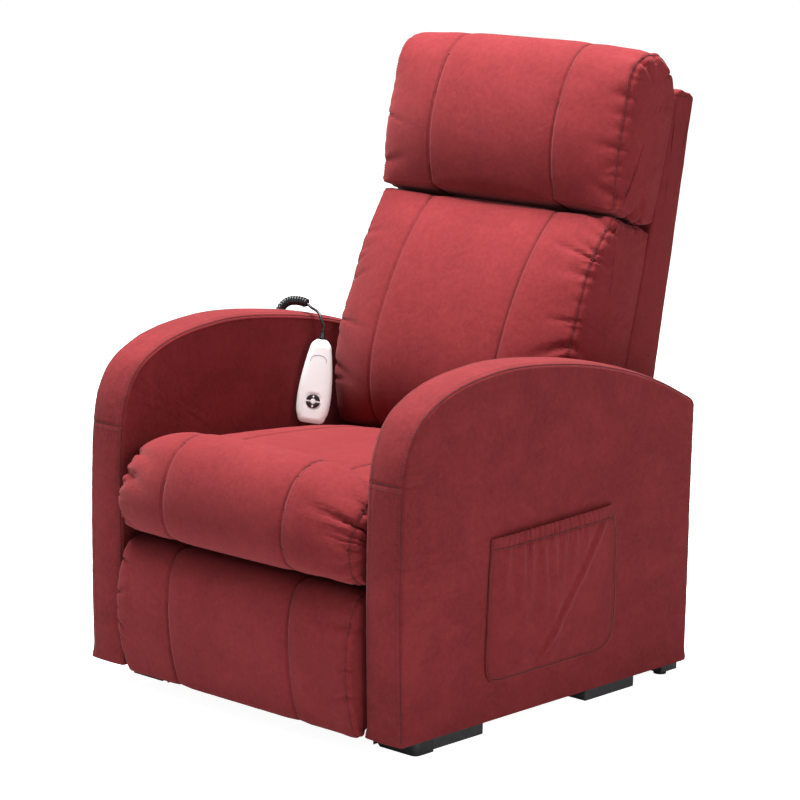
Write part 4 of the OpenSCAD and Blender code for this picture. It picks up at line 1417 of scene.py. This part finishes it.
def half_moon(outer, inner, gap, side):
    """(x, z) half ring between two radii, gap away from the centre line."""
    outer_start, inner_start = math.asin(gap / outer), math.asin(gap / inner)
    points = [(outer * math.cos(a), outer * math.sin(a))
              for a in np.linspace(outer_start, math.pi - outer_start, 26)]
    points += [(inner * math.cos(a), inner * math.sin(a))
               for a in np.linspace(math.pi - inner_start, inner_start, 12)]
    return np.array([(x, side * z) for x, z in points])


# the button's edge: (share of the inset, y)
BUTTON_PROFILE = [(0.0, -7.5), (0.0, -10.4), (0.35, -11.3), (1.0, -11.9), (2.2, -12.15)]


def button(direction, side):
    """Half-moon cap with a raised arrow, above or below the centre bar."""
    body = direction + "_button"
    rows = []
    for share, y in BUTTON_PROFILE:
        inset = share * 0.9
        outline = half_moon(12.4 - inset, 4.7 + inset, 1.3 + inset, side)
        rows.append(np.column_stack([outline[:, 0], np.full(len(outline), y),
                                     outline[:, 1] + BUTTON_Z]))
    count = len(outline)
    faces = grid_faces(len(rows), count, True)
    faces.append(tuple(range(count)))
    faces.append(tuple((len(rows) - 1) * count + k for k in range(count)))
    cap = make(body + "_cap", place(np.vstack(rows)), faces, False)
    recalc(cap)
    bevel = cap.modifiers.new("b", "BEVEL")
    bevel.width = 0.0003
    bevel.segments = 2
    bake(cap)
    finish(cap, "button", body, ("button_" + direction,))

    tail_z = BUTTON_Z + side * 5.9
    head_z = tail_z + side * 1.9
    arrow = Bundle()
    head = [(-2.7, head_z), (2.7, head_z), (0, tail_z + side * 5.0)]
    tail = [(-0.8, tail_z), (0.8, tail_z), (0.8, head_z), (-0.8, head_z)]
    for outline in (head, tail):
        arrow.add(*prism(outline, -12.05, -12.45))
    ob = recalc(arrow.build(body + "_cap_arrow", smooth_shade=False))
    finish(ob, "white_mark", body)


def centre_disc():
    """White disc and bar between the two buttons."""
    sides, radius = 36, 4.2
    verts = [(radius * scale * math.cos(a), y, BUTTON_Z + radius * scale * math.sin(a))
             for y, scale in ((WELL_FLOOR, 1), (-11.5, 1), (-11.9, 0.86))
             for a in np.linspace(0, 2 * math.pi, sides, endpoint=False)]
    faces = [tuple(range(sides)), tuple(range(2 * sides, 3 * sides))[::-1]]
    bundle = Bundle()
    bundle.add(place(verts), faces + grid_faces(3, sides, True))
    bar = [(x, BUTTON_Z + z) for x, z in ((-13.0, -0.75), (13.0, -0.75), (13.0, 0.75),
                                          (-13.0, 0.75))]
    bundle.add(*prism(bar, WELL_FLOOR, -11.4))
    ob = recalc(bundle.build("handset_centre_disc", smooth_shade=False))
    finish(ob, "white", "chassis")


def cord_piece(name, path, radius, sides, replaces=()):
    ob = recalc(make(name, *tube(path, radius, sides)))
    finish(ob, "cord", "chassis", replaces)


def strain_relief():
    """Ribbed sleeve tapering up from the handset's top."""
    zs = np.linspace(HANDSET_TOP - 3, HANDSET_TOP + 17, 60)
    radii = 5.0 - 2.2 * smooth(HANDSET_TOP, HANDSET_TOP + 17, zs)
    ribbed = [z > HANDSET_TOP + 2 and int((z - HANDSET_TOP) / 1.6) % 2 == 0 for z in zs]
    path = place(np.column_stack([np.zeros(60), np.full(60, 1.0), zs]))
    cord_piece("handset_strain_relief", path, radii * np.where(ribbed, 1.10, 1.0), sides=20)


# coil axis: arches over the arm's outer edge
COIL_AXIS = [(-289, 68, 595), (-302, 68, 597.5), (-318, 67, 597.5), (-333, 66, 594.5),
             (-345, 65, 587), (-353, 64, 576), (-357, 63, 563)]
# down the arm's outer face, under the arm and up inside it
CORD_DROP = [(-357, 63, 562), (-358, 62, 520), (-358.5, 60, 400), (-359, 58, 250),
             (-359.5, 56, 120), (-359, 55, 50), (-355, 55, 34), (-344, 55, 28.5),
             (-300, 55, 28), (-262, 55, 28.5), (-248, 55, 34), (-243, 55, 52),
             (-242.5, 55, 120), (-242.5, 55, 205)]


def coil_path():
    steps, pitch, radius, lead = 1100, 5.6, 6.0, 40
    axis = spline(COIL_AXIS, 400)
    lengths = arc_length(axis)
    at = np.linspace(0, lengths[-1], steps)
    along = unit(sample(unit(np.gradient(axis, axis=0)), lengths, at))
    across = unit(np.array([0.0, 1.0, 0.0]) - along * along[:, 1:2])
    third = np.cross(along, across)
    i = np.arange(steps)[:, None]
    angle = 2 * math.pi * (lengths[-1] / pitch) * i / steps
    # the turns open out from the axis over the first and last steps
    spread = radius * np.minimum(1, i / lead) * np.minimum(1, (steps - i) / lead)
    return sample(axis, lengths, at) + spread * (np.cos(angle) * across
                                                 + np.sin(angle) * third)


def handset_cord():
    """Up from the handset, over the arm, coiled across its top and down the outer face."""
    start = place([(0, 1, HANDSET_TOP + 15)])[0]
    upper = spline([tuple(start), tuple(start + np.array([-0.5, 2, 9])), (-243, 57, 570),
                    (-252, 60, 581.5), (-264, 63, 587.0), (-278, 66, 590.0),
                    (-290, 68, 595.5)], 120)
    cord_piece("handset_cord_upper", upper, 2.4, sides=12)
    cord_piece("handset_cord_coil", coil_path(), 2.3, sides=8, replaces=("handset_cord",))
    cord_piece("handset_cord_drop", spline(CORD_DROP, 260), 2.4, sides=10)


front_shell = handset_shell(front=True)
handset_shell(front=False)
grip_line(front_shell)
button("up", 1)
button("down", -1)
centre_disc()
strain_relief()
handset_cord()


# ------------------------------------------------------------------ seat springs
def seat_springs():
    """Four zigzag wires running front to back."""
    wires, pitch, swing, steps = 4, 112, 20, 88 * 4
    start_y, length, z = -306, 432, 301.6
    bundle = Bundle()
    for i in range(wires):
        middle = (i - (wires - 1) / 2) * pitch
        path = [(middle + swing * math.sin(math.radians(45 * k / 4)),
                 start_y + length * k / steps, z) for k in range(steps + 1)]
        bundle.add(*tube(path, 1.9, sides=10))
    ob = recalc(bundle.build("seat_spring_wires"))
    finish(ob, "spring", "chassis", ("seat_springs",))


seat_springs()


# ------------------------------------------------------------------ stage
def camera_ray(graph):
    return graph.nodes.new("ShaderNodeLightPath").outputs["Is Camera Ray"]


def build_floor():
    """Pale floor that glows only to the camera."""
    bpy.ops.mesh.primitive_plane_add(size=24, location=(0, 0, -0.0005))
    floor = bpy.context.object
    floor.name = "floor"
    material, graph, shader = new_material("pale_floor")
    drift = noise(graph, object_coords(graph), scale=3.0, detail=3)
    set_inputs(graph, shader, {
        "Base Color": ramp(graph, drift, [(0.3, (0.60,) * 3), (0.7, (0.63,) * 3)]),
        "Roughness": 0.9,
        "Emission Color": (1, 1, 1),
        "Emission Strength": calc(graph, "MULTIPLY", camera_ray(graph), 0.95),
    })
    floor.data.materials.append(material)


def build_world():
    """White surround, bright to the camera and dim as a light."""
    dim, extra_for_camera = 0.20, 0.83
    world = bpy.data.worlds.new("w")
    scene.world = world
    world.use_nodes = True
    graph = world.node_tree
    strength = calc(graph, "MULTIPLY_ADD", camera_ray(graph), extra_for_camera, dim)
    set_inputs(graph, graph.nodes["Background"], {0: (1, 1, 1), 1: strength})


def area_light(name, location, target, size, power):
    light = bpy.data.lights.new(name, "AREA")
    light.shape = "SQUARE"
    light.size = size
    light.energy = power
    ob = link(bpy.data.objects.new(name, light))
    ob.location = location
    aim = Vector(target) - Vector(location)
    ob.rotation_euler = aim.to_track_quat("-Z", "Y").to_euler()


def build_camera():
    camera = bpy.data.cameras.new("cam")
    ob = link(bpy.data.objects.new("cam", camera))
    pitch, azimuth, roll = (math.radians(a) for a in (11.0769, 42.3371, 1.1366))
    back = Vector((math.sin(azimuth) * math.cos(pitch), -math.cos(azimuth) * math.cos(pitch),
                   math.sin(pitch)))
    right = Vector((math.cos(azimuth), math.sin(azimuth), 0))
    up = back.cross(right)
    rolled_right = right * math.cos(roll) + up * math.sin(roll)
    rolled_up = -right * math.sin(roll) + up * math.cos(roll)
    pose = Matrix((rolled_right, rolled_up, back)).transposed().to_4x4()
    pose.translation = Vector((3.2996, -3.6279, 1.4360))
    ob.matrix_world = pose
    camera.sensor_width = 36
    camera.sensor_fit = "HORIZONTAL"
    camera.lens = 134.9622
    camera.clip_end = 60
    scene.camera = ob


build_floor()
build_world()
area_light("overhead", (-0.6, -0.38, 4.2), target=(0, 0, 0.4), size=2.0, power=515)
area_light("fill", (3.9, -0.7, 1.7), target=(0, 0, 0.5), size=2.2, power=67)
build_camera()
scene.view_settings.view_transform = "Standard"
scene.view_settings.look = "None"
scene.view_settings.exposure = 0.0
scene.view_settings.gamma = 1.0
